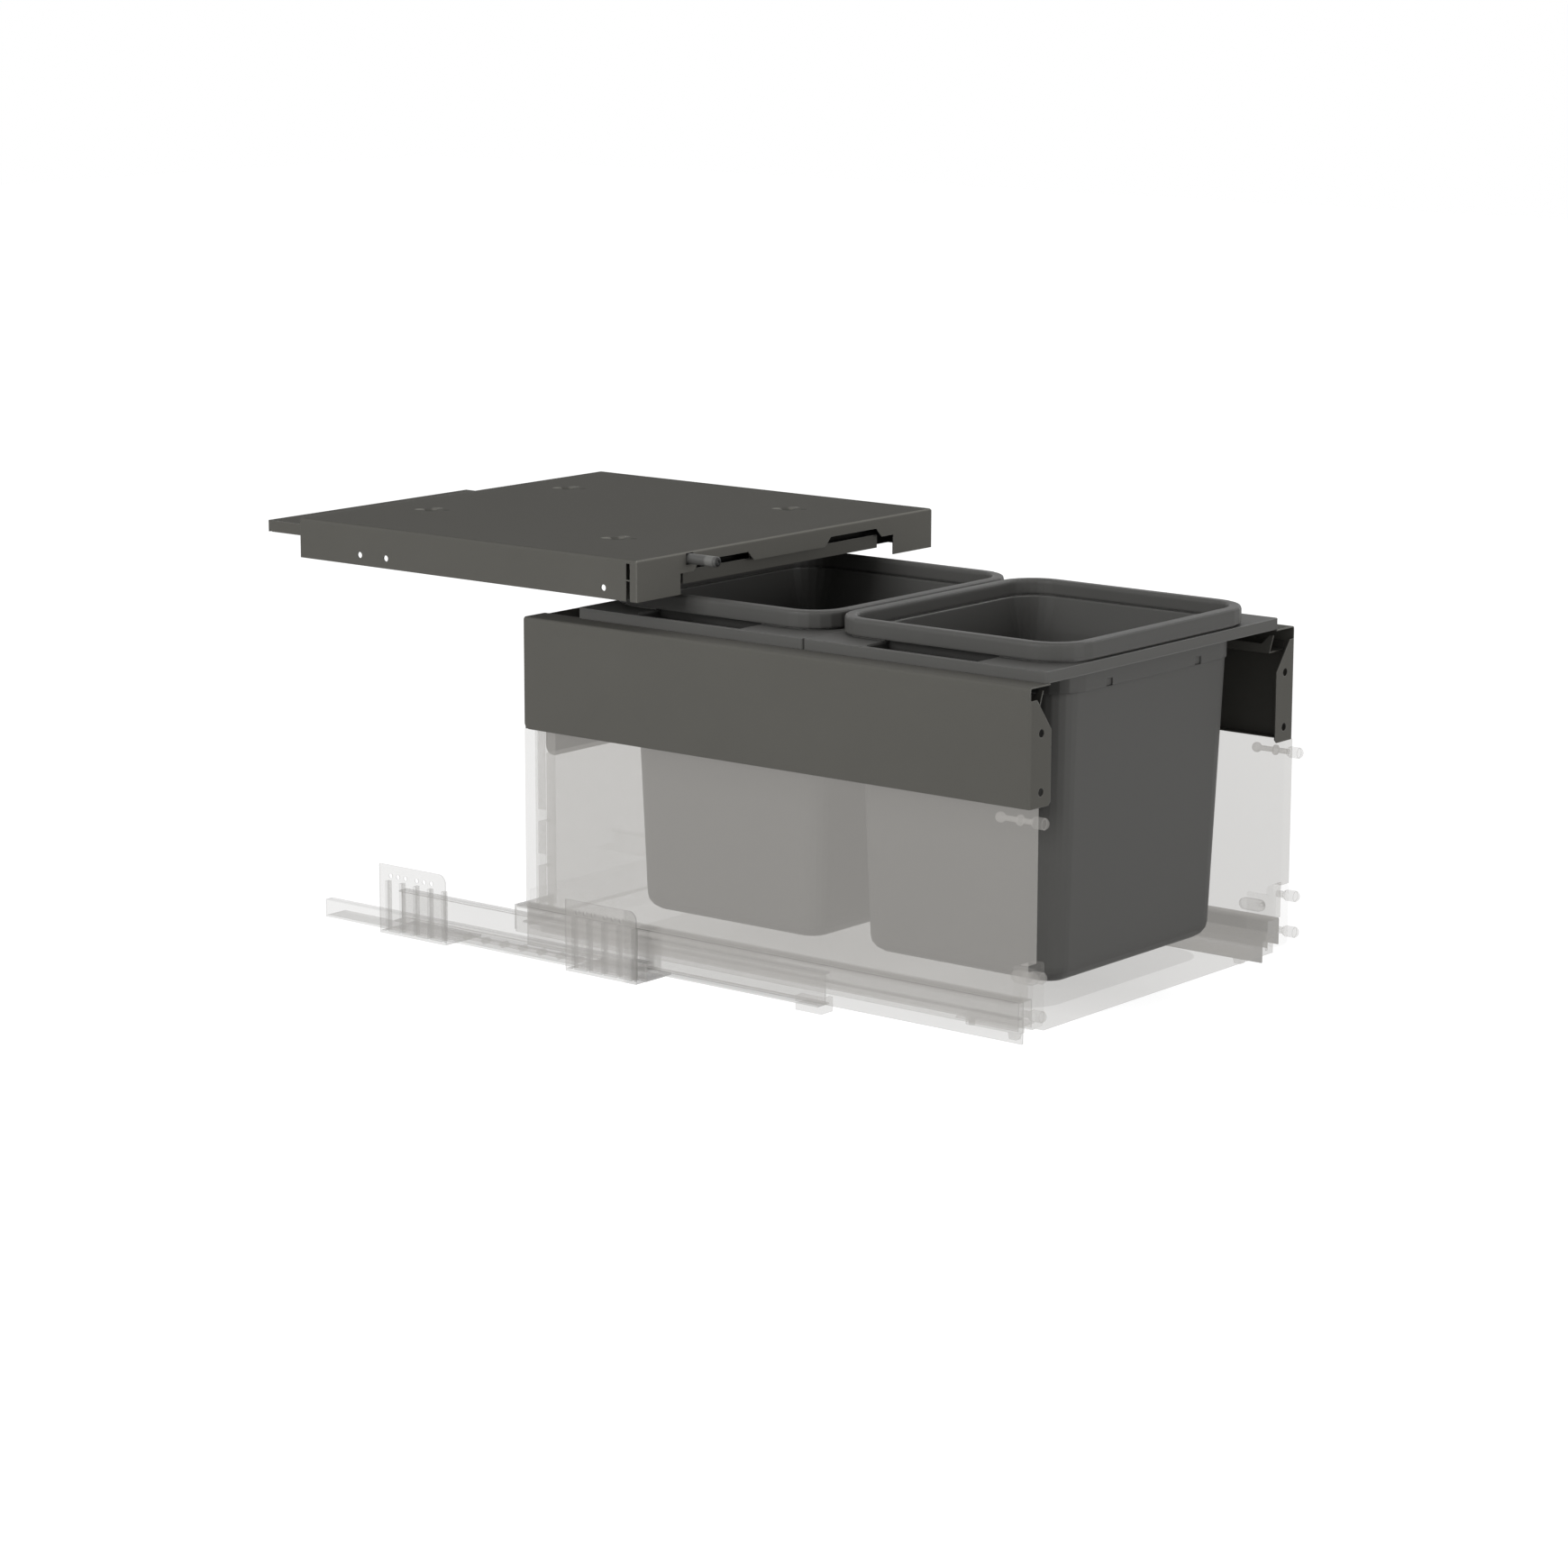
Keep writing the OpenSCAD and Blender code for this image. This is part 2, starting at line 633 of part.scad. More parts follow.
module lid_rear_plate() color(dark_steel) placed() {
  plate_x = lid_x - lid_t;
  z1 = lid_top - rear_plate_drop;
  short_y1 = lid_y1 + rear_plate_short;
  along_z(z1 - lid_t, z1) polygon([[-plate_x, lid_y1 - rear_plate_lap],
    [plate_x, lid_y1 - rear_plate_lap], [plate_x, short_y1], [rear_plate_x, short_y1],
    [rear_plate_x, rear_plate_y1], [-plate_x, rear_plate_y1]]);
  box([-plate_x, rear_plate_y1 - lid_t, z1 - rear_plate_h], [rear_plate_x, rear_plate_y1, z1]);
  box([rear_plate_x - lid_t, short_y1, z1 - rear_plate_h], [rear_plate_x, rear_plate_y1, z1]);
  along_x(-plate_x, -plate_x + lid_t) difference() {
    bar(lid_y1 - rear_plate_lap, z1 - rear_plate_h, rear_plate_y1, z1);
    difference() {
      bar(rear_plate_y1 - rear_plate_h / 2, z1 - rear_plate_h - over, rear_plate_y1 + over,
        z1 - rear_plate_h / 2);
      translate([rear_plate_y1 - rear_plate_h / 2, z1 - rear_plate_h / 2]) circle(rear_plate_h / 2);
    }
  }
}

// Soft-close damper, whose plunger meets the drawer front
module damper_housing() color(dark_plastic) placed() {
  r = plunger_d / 2 + housing_wall;
  difference() {
    box([-plunger_x - r, housing_y, plunger_z - r], [-plunger_x + r, housing_y1, lid_under]);
    hole_y(-plunger_x, housing_y - over, housing_y1 - housing_wall, plunger_z,
      plunger_d + 2 * run_clear);
  }
}

module damper_plunger() color([0.45, 0.45, 0.43]) placed()
  translate([-plunger_x, 0, plunger_z]) rotate([-90, 0, 0]) {
    translate([0, 0, plunger_y0 + plunger_d / 2])
      cylinder(h = plunger_y1 - plunger_y0 - plunger_d / 2, d = plunger_d);
    translate([0, 0, plunger_y0]) rotate_extrude() difference() {
      union() {
        square([plunger_d / 4, plunger_d / 2 + over]);
        translate([plunger_d / 4, plunger_d / 4]) circle(plunger_d / 4);
        translate([0, plunger_d / 4]) square([plunger_d / 2, plunger_d / 4 + over]);
      }
      translate([-over, -over]) square([over, plunger_d + over]);
      translate([0, -over]) square([plunger_d / 6, over + plunger_d / 6]);
    }
  }

// Wall brackets and runners, drawn on the right and mirrored for the left
module wall_bracket(y) color(ghost) placed() {
  along_x(wall_x - bracket_t, wall_x) difference() {
    union() {
      bar(y, 0, y + bracket_w, bracket_h - bracket_r);
      bar(y + bracket_r, 0, y + bracket_w, bracket_h);
      translate([y + bracket_r, bracket_h - bracket_r]) circle(bracket_r);
    }
    for (h = hole_group) translate([y + bracket_hole_from + h, bracket_h - bracket_hole_drop])
      circle(d = bracket_hole_d);
  }
  box([wall_x - foot_reach, y, 0], [wall_x - bracket_t, y + bracket_w, foot_t]);
  for (k = [0:rib_count - 1])
    box([rail_x, y + rib_y + k * rib_pitch - over / 2, foot_t],
      [wall_x - bracket_t, y + rib_y + k * rib_pitch + rib_w - over / 2, rib_top]);
}

module cabinet_rail() color(ghost_dark) placed() along_y(rail_y0, rail_y0 + rail_l) {
  bar(rail_x - rail_w, rail_z0, rail_x, rail_z0 + rail_t);
  bar(rail_x - rail_t, rail_z0, rail_x, rail_z1);
  bar(rail_x - rail_top_w, rail_z1 - rail_t, rail_x, rail_z1);
}

module mid_section() {
  bar(mid_foot_x - mid_foot_w, mid_foot_z0, mid_foot_x, mid_foot_z1);
  bar(mid_web_x - rail_t, mid_foot_z0, mid_web_x, head_z1);
  bar(mid_head_x - mid_head_w, head_z0, mid_head_x, head_z1);
}

module intermediate_rail() color(ghost_dark) placed() along_y(mid_y0, mid_y0 + mid_l) mid_section();

module rail_end_cap() color(ghost) placed() difference() {
  box([mid_foot_x - mid_foot_w, mid_y0 - cap_nose, rail_z0 + rail_t + gap],
    [mid_foot_x, mid_y0 + cap_l, rail_z1 - rail_t - gap]);
  along_y(mid_y0, mid_y0 + cap_l + over) mid_section();
  box([mid_foot_x - mid_foot_w - over, mid_y0, mid_foot_z1],
    [mid_web_x - rail_t, mid_y0 + cap_l + over, rail_z1]);
}

module cage(x, y0, l, z) {
  pitch = l / (roller_count + 1);
  pocket_l = roller_l + 2 * cage_clear;
  pocket_w = roller_d + 2 * cage_clear;
  difference() {
    box([x - cage_w / 2, y0, z - cage_t / 2], [x + cage_w / 2, y0 + l, z + cage_t / 2]);
    for (k = [1:roller_count])
      box([x - pocket_l / 2, y0 + k * pitch - pocket_w / 2, z - cage_t],
        [x + pocket_l / 2, y0 + k * pitch + pocket_w / 2, z + cage_t]);
  }
}

module rollers(x, y0, l, z) for (k = [1:roller_count])
  hole_x(x - roller_l / 2, x + roller_l / 2, y0 + k * l / (roller_count + 1), z, roller_d);

lower_cage_y = rail_y0 + lower_cage_from;
upper_cage_y = mid_y0 + upper_cage_from;
lower_roller_z = mid_foot_z0 - track / 2;
upper_roller_z = head_z1 + track / 2;

module lower_cage() color(ghost) placed() cage(lower_cage_x, lower_cage_y, lower_cage_l, lower_roller_z);
module lower_rollers() color(ghost_dark) placed()
  rollers(lower_cage_x, lower_cage_y, lower_cage_l, lower_roller_z);
module upper_cage() color(ghost) placed() cage(upper_cage_x, upper_cage_y, upper_cage_l, upper_roller_z);
module upper_rollers() color(ghost_dark) placed()
  rollers(upper_cage_x, upper_cage_y, upper_cage_l, upper_roller_z);

module drawer_rail() color(ghost_dark) placed() along_y(drawer_rail_y0, profile_y1) {
  bar(drawer_web_x, drawer_web_bottom, drawer_web_x + rail_t, plate_z1);
  bar(drawer_web_x, plate_z0, side_x - profile_t - gap, plate_z1);
  bar(drawer_web_x, lip_z1 - rail_t, drawer_web_x + drawer_lip_w, lip_z1);
}

// Lock under the base, which holds the drawer on its rails
module lock_plate() color(ghost) placed() {
  x1 = drawer_web_x;
  difference() {
    box([x1 - lock_plate_w, lock_plate_y, base_bottom - lock_plate_t],
      [x1, lock_plate_y + lock_plate_l, base_bottom]);
    for (x = [x1 - lock_plate_w / 4, x1 - 3 * lock_plate_w / 4])
      translate([x, lock_plate_y + lock_plate_l / 3, base_bottom - 2 * lock_plate_t])
        cylinder(h = 3 * lock_plate_t, d = lock_pin_d - over);
  }
  translate([lever_x, lever_pivot_y, lever_z1 - lever_t - over])
    cylinder(h = base_bottom - lock_plate_t / 2 - lever_z1 + lever_t + over, d = lock_pin_d);
}

module lock_lever() color(ghost) placed() difference() {
  union() {
    along_z(lever_z1 - lever_t, lever_z1) {
      translate([lever_x, lever_pivot_y]) circle(lever_w * 0.6);
      polygon([[lever_x - lever_w / 2, lever_pivot_y], [lever_x - lever_w / 2, lock_plate_y + tab_l],
        [lever_x - lever_w / 3, lock_plate_y], [lever_x + lever_w / 3, lock_plate_y],
        [lever_x + lever_w / 2, lock_plate_y + tab_l], [lever_x + lever_w / 2, lever_pivot_y]]);
    }
    along_x(lever_x - lever_w / 3, lever_x + lever_w / 3)
      polygon([[lock_plate_y, lever_z1], [lock_plate_y + tab_l, lever_z1],
        [lock_plate_y + tab_l * 0.8, lever_z1 - tab_h], [lock_plate_y + tab_l * 0.3, lever_z1 - tab_h]]);
  }
  translate([lever_x, lever_pivot_y, lever_z1 - lever_t - over])
    cylinder(h = lever_t + 2 * over, d = lock_pin_d + 2 * run_clear);
}

// Drawer sides
module side_profile() color(ghost) placed() along_y(profile_y0, profile_y1) difference() {
  union() {
    bent_rect(profile_in_x + bend_r, profile_bottom, side_x, profile_top, bend_r);
    translate([2 * profile_in_x + 2 * bend_r, 0]) scale([-1, 1])
      bent_rect(profile_in_x, profile_bottom, profile_in_x + 2 * bend_r, profile_top, bend_r);
  }
  bar(profile_in_x + profile_t, profile_bottom - over, side_x - profile_t, plate_z1);
}

module infill_side() color(ghost) placed() difference() {
  union() {
    box([infill_in_x, front_bracket_t, profile_top], [side_x, panel_l, panel_bottom]);
    box([infill_in_x, 0, front_bracket_top], [side_x, panel_l, panel_bottom]);
  }
  translate([dowel_cx, 0, upper_dowel_z]) rotate([-90, 0, 0]) {
    translate([0, 0, -over]) cylinder(h = 2 * over, d = socket_d / 2 + 2 * ball_clear);
    stud(ball_clear);
  }
}

module side_panel() color(dark_steel) placed() {
  flange_top = panel_top - front_flange_drop;
  difference() {
    union() {
      along_y(panel_t, panel_l) difference() {
        bent_rect(side_x - top_flange_w, panel_bottom, side_x, panel_top, bend_r);
        bent_rect(side_x - top_flange_w - over, panel_bottom + panel_t, side_x - panel_t,
          panel_top - panel_t, bend_r - panel_t);
        bar(side_x - top_flange_w - over, panel_bottom - over, side_x - hem_w, panel_top - panel_t);
      }
      along_y(0, panel_t) polygon([[side_x - bend_r, panel_bottom], [side_x - bend_r, flange_top],
        [side_x - front_flange_flat, flange_top],
        [side_x - front_flange_w, panel_top - front_flange_slope],
        [side_x - front_flange_w, panel_bottom + bend_r],
        [side_x - front_flange_w + bend_r, panel_bottom]]);
      along_z(panel_bottom, flange_top) difference() {
        translate([side_x - bend_r, 0]) square(bend_r);
        translate([side_x - bend_r, bend_r]) circle(bend_r - panel_t);
      }
    }
    along_z(panel_bottom - over, flange_top) difference() {
      translate([side_x - bend_r, -over]) square(bend_r + over);
      translate([side_x - bend_r, bend_r]) circle(bend_r);
    }
    for (k = [0, 1]) hole_y(side_x - flange_hole_x, -over, panel_t + over,
      panel_top - flange_hole_z - k * 1.5 * system_pitch, flange_hole_d);
    along_x(side_x - hem_w - over, side_x + over) difference() {
      bar(panel_l - bend_r * 2, panel_bottom - over, panel_l + over, panel_bottom + bend_r * 2);
      translate([panel_l - bend_r * 2, panel_bottom + bend_r * 2]) circle(bend_r * 2);
    }
  }
}

module frame_ledge() color(dark_steel) placed() {
  x0 = side_x - panel_t - ledge_w;
  x1 = side_x - panel_t;
  y0 = frame_y0 + ledge_lip;
  z0 = panel_top - ledge_drop;
  box([x0, y0, z0], [x1, frames_y1, z0 + panel_t]);
  box([x1 - panel_t, y0, z0], [x1, frames_y1, z0 + ledge_lip]);
  along_x(x0, x0 + panel_t) polygon([[y0, z0], [frames_y1, z0], [frames_y1, z0 + ledge_lip],
    [y0 + ledge_lip, z0 + ledge_lip], [y0, z0 + ledge_tab], [y0 - ledge_lip / 2, z0 + ledge_tab]]);
}

// Back of the drawer
module back_panel() color(dark_steel) placed() along_y(panel_l - panel_t, panel_l) {
  low_w = side_x - infill_t - post_w - over;
  bar(-side_x + panel_t, panel_bottom, side_x - panel_t, panel_top - panel_t);
  difference() {
    translate([0, (back_panel_bottom + panel_top) / 2])
      round_rect(2 * low_w, panel_top - back_panel_bottom, back_panel_r);
    bar(-wall_x, panel_bottom + over, wall_x, panel_top + over);
  }
}

module rear_post() color(ghost) placed() {
  x0 = infill_in_x - post_w;
  y1 = panel_l - panel_t;
  difference() {
    box([x0, post_y, profile_top], [infill_in_x, y1, panel_bottom]);
    box([x0 + post_t, post_y - over, profile_top - over],
      [infill_in_x - post_t, y1 - post_t, panel_bottom + over]);
  }
  for (share = block_shares) box([x0 + post_t / 2, post_y, profile_top + share * (panel_bottom - profile_top)],
    [infill_in_x - post_t / 2, y1 - post_t / 2,
      profile_top + share * (panel_bottom - profile_top) + block_h]);
}
// Heights of the post's solid blocks, along it
block_shares = [0.22, 0.47];

// Board between the posts, from the base up to the back panel
module infill_back() color(ghost) placed() {
  x1 = infill_in_x - post_w;
  y1 = panel_l - panel_t;
  box([-x1, y1 - infill_back_t, base_top], [x1, y1, back_panel_bottom + infill_back_lap]);
}

module base_panel() color(ghost) placed() difference() {
  box([-profile_in_x, 0, base_bottom], [profile_in_x, back_board_y, base_top]);
  for (s = [-1, 1]) box([s * profile_in_x - (profile_in_x - bracket_in_x), -over, base_bottom - over],
    [s * profile_in_x + (profile_in_x - bracket_in_x), front_bracket_t, base_top + over]);
}

module low_back_board() color(ghost) placed()
  box([-profile_in_x, back_board_y, base_bottom], [profile_in_x, profile_y1, back_board_top]);

// End plate of the low profile, open for the runner that passes through it
module rear_connector() color(ghost_dark) placed() along_y(profile_y1, profile_y1 + profile_t) difference() {
  bar(side_x - connector_l, front_bracket_bottom, side_x, profile_top);
  bar(profile_in_x + profile_t, front_bracket_bottom - over, side_x - profile_t, plate_z1);
}

// Fixings for the drawer front
module front_bracket() color(ghost_dark) placed() difference() {
  union() {
    along_y(0, front_bracket_t) translate([(bracket_in_x + side_x) / 2,
      (front_bracket_bottom + front_bracket_top) / 2])
      round_rect(front_bracket_w, front_bracket_top - front_bracket_bottom, front_bracket_w / 6);
    box([bracket_in_x, front_bracket_t / 2, base_top], [bracket_in_x + ear_t, ear_l + front_bracket_t, ear_top]);
  }
  for (k = [0, 1]) hole_y(dowel_cx, -over, front_bracket_t + over, lower_dowel_z + k * system_pitch,
    dowel_d * 0.6 + 2 * run_clear);
  hole_x(bracket_in_x - over, bracket_in_x + ear_t + over, adjuster_y, adjuster_z,
    adjuster_pin_d + 2 * run_clear);
}

module front_adjuster() color(ghost_dark) placed() {
  x1 = bracket_in_x - gap;
  r = adjuster_h / 2;
  along_x(x1 - adjuster_t, x1) obround(adjuster_y, adjuster_y + adjuster_l - 2 * r, adjuster_z, adjuster_h);
  hole_x(x1 - adjuster_t / 2, bracket_in_x + ear_t, adjuster_y, adjuster_z, adjuster_pin_d);
}

// An expanding dowel that points forward from the front plane
module dowel() rotate([90, 0, 0]) {
  cylinder(h = dowel_l * 0.15, d = dowel_d * 0.84);
  translate([0, 0, dowel_l * 0.15]) cylinder(h = dowel_l * 0.6, d = dowel_d);
  translate([0, 0, dowel_l * 0.75]) cylinder(h = dowel_l * 0.1, d = dowel_d * 0.84);
  translate([0, 0, dowel_l * 0.85]) cylinder(h = dowel_l * 0.15, d1 = dowel_d, d2 = dowel_d * 0.7);
}

module lower_dowels() color(ghost) placed() for (k = [0, 1])
  translate([dowel_cx, 0, lower_dowel_z + k * system_pitch]) {
    dowel();
    rotate([-90, 0, 0]) cylinder(h = front_bracket_t, d = dowel_d * 0.6);
  }

module upper_dowel() color(ghost) placed() translate([dowel_cx, 0, upper_dowel_z]) dowel();

// The stud along Z from the front plane, grown by a clearance for its socket
module stud(grow) {
  ball_r = socket_d / 2 - ball_clear;
  cylinder(h = stud_l - ball_r, d = socket_d / 2 + 2 * grow);
  translate([0, 0, stud_l - ball_r]) sphere(ball_r + grow);
  translate([0, 0, stud_l / 3 - grow]) cylinder(h = 2 * over + 2 * grow, r = ball_r + grow);
}

module ball_stud() color(ghost_dark) placed() translate([dowel_cx, 0, upper_dowel_z])
  rotate([-90, 0, 0]) stud(0);

// Bin frame, with the opening that a bin hangs in
module bin_frame(y) color(dark_plastic) placed() translate([0, y, 0]) {
  l = frame_l - frame_seam;
  mid = frame_l / 2;
  slot_x0 = -frame_x + slot_web;
  difference() {
    union() {
      difference() {
        along_z(panel_top, frame_top) translate([0, mid]) round_rect(2 * frame_x, l, frame_wall);
        along_z(panel_top - over, frame_top - frame_wall) difference() {
          translate([0, mid]) round_rect(2 * (frame_x - frame_wall), l - 2 * frame_wall, frame_wall);
          translate([0, mid]) round_rect(rim_w - 2 * hole_in + 2 * frame_wall,
            rim_l - 2 * hole_in + 2 * frame_wall, collar_r);
          slot_outline(slot_x0 - frame_wall, frame_wall);
          for (x = [-1, 1]) translate([x * (frame_x + rim_w / 2) / 2 - frame_wall / 2, 0])
            square([frame_wall, frame_l]);
        }
      }
      along_z(frame_top, rim_z1 - bin_wall) translate([0, mid]) difference() {
        round_rect(rim_w - 2 * upstand_in, rim_l - 2 * upstand_in, rim_r - upstand_in);
        round_rect(rim_w - 2 * (upstand_in + frame_wall), rim_l - 2 * (upstand_in + frame_wall),
          rim_r - upstand_in - frame_wall);
      }
    }
    along_z(panel_top - over, frame_top + over) translate([0, mid])
      round_rect(rim_w - 2 * hole_in, rim_l - 2 * hole_in, collar_r);
    along_z(panel_top - over, rim_z1) slot_outline(slot_x0, 0);
  }
}

// A finger slot that opens into the bin's hole, grown by a wall where asked
module slot_outline(x0, grow) {
  y1 = slot_y0 + slot_l + grow;
  bar(x0 + slot_r, slot_y0 - grow, 0, y1);
  bar(x0, slot_y0 - grow, 0, y1 - slot_r);
  translate([x0 + slot_r, y1 - slot_r]) circle(slot_r);
}

module front_bin_frame() bin_frame(frame_y0);
module rear_bin_frame() bin_frame(frame_y0 + frame_l);

// Bin: hollow rim over the frame's upstand, a collar in the frame and a tapered body
fillet_steps = 4;
foot_fillet = [for (i = [0:fillet_steps]) let (a = 90 * i / fillet_steps)
  [foot_in + bin_fillet * (1 - sin(a)), foot_r - bin_fillet * (1 - sin(a)) / 2,
    bin_bottom + bin_fillet * (1 - cos(a))]];
inner_fillet = [for (s = foot_fillet) [s[0] + bin_wall, s[1] - bin_wall / 2, s[2] + bin_wall]];
rim_arc = [for (i = [0:3]) let (a = 30 * i)
  [rim_round * (1 - cos(a)), rim_r - rim_round * (1 - cos(a)), rim_z1 - rim_round * (1 - sin(a))]];
mouth_arc = [for (i = [0:3]) let (a = 30 * i)
  [rim_top_w - rim_round * (1 - cos(a)), rim_r - rim_top_w + rim_round * (1 - cos(a)),
    rim_z1 - rim_round * (1 - sin(a)) + (i == 3 ? gap / 10 : 0)]];

module bin(y) color(dark_plastic) placed() translate([0, y + frame_l / 2, 0]) difference() {
  union() {
    difference() {
      loft(concat([[0, rim_r, rim_z0]], rim_arc));
      along_z(rim_z0 - over, rim_z1 - bin_wall) difference() {
        round_rect(rim_w - 2 * bin_wall, rim_l - 2 * bin_wall, rim_r - bin_wall);
        round_rect(rim_w - 2 * rim_mid_in, rim_l - 2 * rim_mid_in, rim_r - rim_mid_in);
      }
    }
    loft([[collar_in, collar_r, collar_z], [collar_in, collar_r, rim_z0 + over]]);
    loft(concat(foot_fillet, [[body_in, body_r, collar_z], [body_in, body_r, collar_z + bin_wall]]));
  }
  loft(concat(inner_fillet, [[body_in + bin_wall, body_r - bin_wall / 2, collar_z],
    [collar_in + bin_wall, collar_r - bin_wall, inner_step_z + over / 2]]));
  loft(concat([[rim_top_w, rim_r - rim_top_w, inner_step_z]], mouth_arc));
  loft([[rim_top_w - groove_d, rim_r - rim_top_w + groove_d, inner_step_z],
    [rim_top_w - groove_d, rim_r - rim_top_w + groove_d, inner_step_z + groove_h]]);
  for (x = [-1, 1]) box([x * clip_x - clip_w / 2, -rim_l / 2, collar_z + gap],
    [x * clip_x + clip_w / 2, -rim_l / 2 + collar_in + clip_d, collar_z + gap + clip_h]);
}

module front_bin() bin(frame_y0);
module rear_bin() bin(frame_y0 + frame_l);

// Each node by its own name
module wall_bracket_front_right() wall_bracket(front_bracket_y);
module wall_bracket_rear_right() wall_bracket(rear_bracket_y);
module wall_bracket_front_left() left() wall_bracket(front_bracket_y);
module wall_bracket_rear_left() left() wall_bracket(rear_bracket_y);
module cabinet_rail_right() cabinet_rail();
module cabinet_rail_left() left() cabinet_rail();
module lower_cage_right() lower_cage();
module lower_cage_left() left() lower_cage();
module lower_rollers_right() lower_rollers();
module lower_rollers_left() left() lower_rollers();
module intermediate_rail_right() intermediate_rail();
module intermediate_rail_left() left() intermediate_rail();
module rail_end_cap_right() rail_end_cap();
module rail_end_cap_left() left() rail_end_cap();
module upper_cage_right() upper_cage();
module upper_cage_left() left() upper_cage();
module upper_rollers_right() upper_rollers();
module upper_rollers_left() left() upper_rollers();
module drawer_rail_right() drawer_rail();
module drawer_rail_left() left() drawer_rail();
module lock_plate_right() lock_plate();
module lock_plate_left() left() lock_plate();
module lock_lever_right() lock_lever();
module lock_lever_left() left() lock_lever();
module side_profile_right() side_profile();
module side_profile_left() left() side_profile();
module infill_side_right() infill_side();
module infill_side_left() left() infill_side();
module side_panel_right() side_panel();
module side_panel_left() left() side_panel();
module frame_ledge_right() frame_ledge();
module frame_ledge_left() left() frame_ledge();
module rear_post_right() rear_post();
module rear_post_left() left() rear_post();
module rear_connector_right() rear_connector();
module rear_connector_left() left() rear_connector();
module front_bracket_right() front_bracket();
module front_bracket_left() left() front_bracket();
module front_adjuster_right() front_adjuster();
module front_adjuster_left() left() front_adjuster();
module lower_dowels_right() lower_dowels();
module lower_dowels_left() left() lower_dowels();
module upper_dowel_right() upper_dowel();
module upper_dowel_left() left() upper_dowel();
module ball_stud_right() ball_stud();
module ball_stud_left() left() ball_stud();

lid_tray();
lid_cross_strip();
lid_rear_plate();
damper_housing();
damper_plunger();
wall_bracket_front_left();
wall_bracket_rear_left();
wall_bracket_front_right();
wall_bracket_rear_right();
cabinet_rail_left();
cabinet_rail_right();
lower_cage_left();
lower_rollers_left();
lower_cage_right();
lower_rollers_right();
intermediate_rail_left();
rail_end_cap_left();
intermediate_rail_right();
rail_end_cap_right();
upper_cage_left();
upper_rollers_left();
upper_cage_right();
upper_rollers_right();
drawer_rail_left();
drawer_rail_right();
lock_plate_left();
lock_plate_right();
lock_lever_left();
lock_lever_right();
side_profile_left();
side_profile_right();
infill_side_left();
infill_side_right();
side_panel_left();
side_panel_right();
frame_ledge_left();
frame_ledge_right();
back_panel();
rear_post_left();
rear_post_right();
base_panel();
low_back_board();
infill_back();
rear_connector_left();
rear_connector_right();
front_bracket_left();
front_bracket_right();
front_adjuster_left();
front_adjuster_right();
lower_dowels_left();
lower_dowels_right();
upper_dowel_left();
upper_dowel_right();
ball_stud_left();
ball_stud_right();
front_bin_frame();
rear_bin_frame();
front_bin();
rear_bin();
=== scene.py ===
"""A pull-out waste bin fitting for a kitchen cabinet, dressed round its fixed frame.

Lengths are in metres. X runs across the cabinet, Y into it and Z up, and the origin lies on the
cabinet's floor under the middle of the fitting. The dark lid, side panels, frames and bins are
opaque; boards, runners and brackets are pale and see-through, as photographed, and glow with
their own tone, a painted light.
"""

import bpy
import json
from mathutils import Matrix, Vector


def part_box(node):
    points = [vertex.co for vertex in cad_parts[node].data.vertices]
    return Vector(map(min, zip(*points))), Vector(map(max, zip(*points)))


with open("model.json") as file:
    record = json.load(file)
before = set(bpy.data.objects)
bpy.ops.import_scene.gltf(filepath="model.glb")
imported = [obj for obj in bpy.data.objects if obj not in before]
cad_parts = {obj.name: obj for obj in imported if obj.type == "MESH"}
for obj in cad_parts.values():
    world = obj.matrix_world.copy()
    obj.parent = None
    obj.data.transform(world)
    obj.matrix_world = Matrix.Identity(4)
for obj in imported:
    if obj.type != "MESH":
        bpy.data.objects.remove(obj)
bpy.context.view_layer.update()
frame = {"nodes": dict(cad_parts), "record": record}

import json
import math

import bpy
from mathutils import Matrix, Vector

NODES = frame["nodes"]
MM = 0.001

# Camera
EYE = Vector((-2.99866, -2.42377, 0.93622))
EYE_AZIMUTH, EYE_ELEVATION, EYE_ROLL = map(math.radians, (-51.132, 11.633, 0.133))
SENSOR = 36.0
FOCAL_PIXELS, IMAGE_PIXELS = 4898.0, 1740.0
NEAR_CLIP, FAR_CLIP = 0.05, 60.0


def make_camera():
    """Aims the camera by azimuth, elevation and roll; its axes are right, up and back."""
    turn, tilt, roll = EYE_AZIMUTH, EYE_ELEVATION, EYE_ROLL
    reach = math.cos(tilt)
    back = Vector((math.sin(turn) * reach, -math.cos(turn) * reach, math.sin(tilt)))
    level = Vector((0, 0, 1)).cross(back).normalized()
    upright = back.cross(level)
    right = math.cos(roll) * level + math.sin(roll) * upright
    up = math.cos(roll) * upright - math.sin(roll) * level
    lens = bpy.data.cameras.new("studio_camera")
    lens.sensor_width = SENSOR
    lens.lens = SENSOR * FOCAL_PIXELS / IMAGE_PIXELS
    lens.clip_start, lens.clip_end = NEAR_CLIP, FAR_CLIP
    camera = bpy.data.objects.new("studio_camera", lens)
    bpy.context.scene.collection.objects.link(camera)
    camera.matrix_world = Matrix.Translation(EYE) @ Matrix((right, up, back)).transposed().to_4x4()
    bpy.context.scene.camera = camera


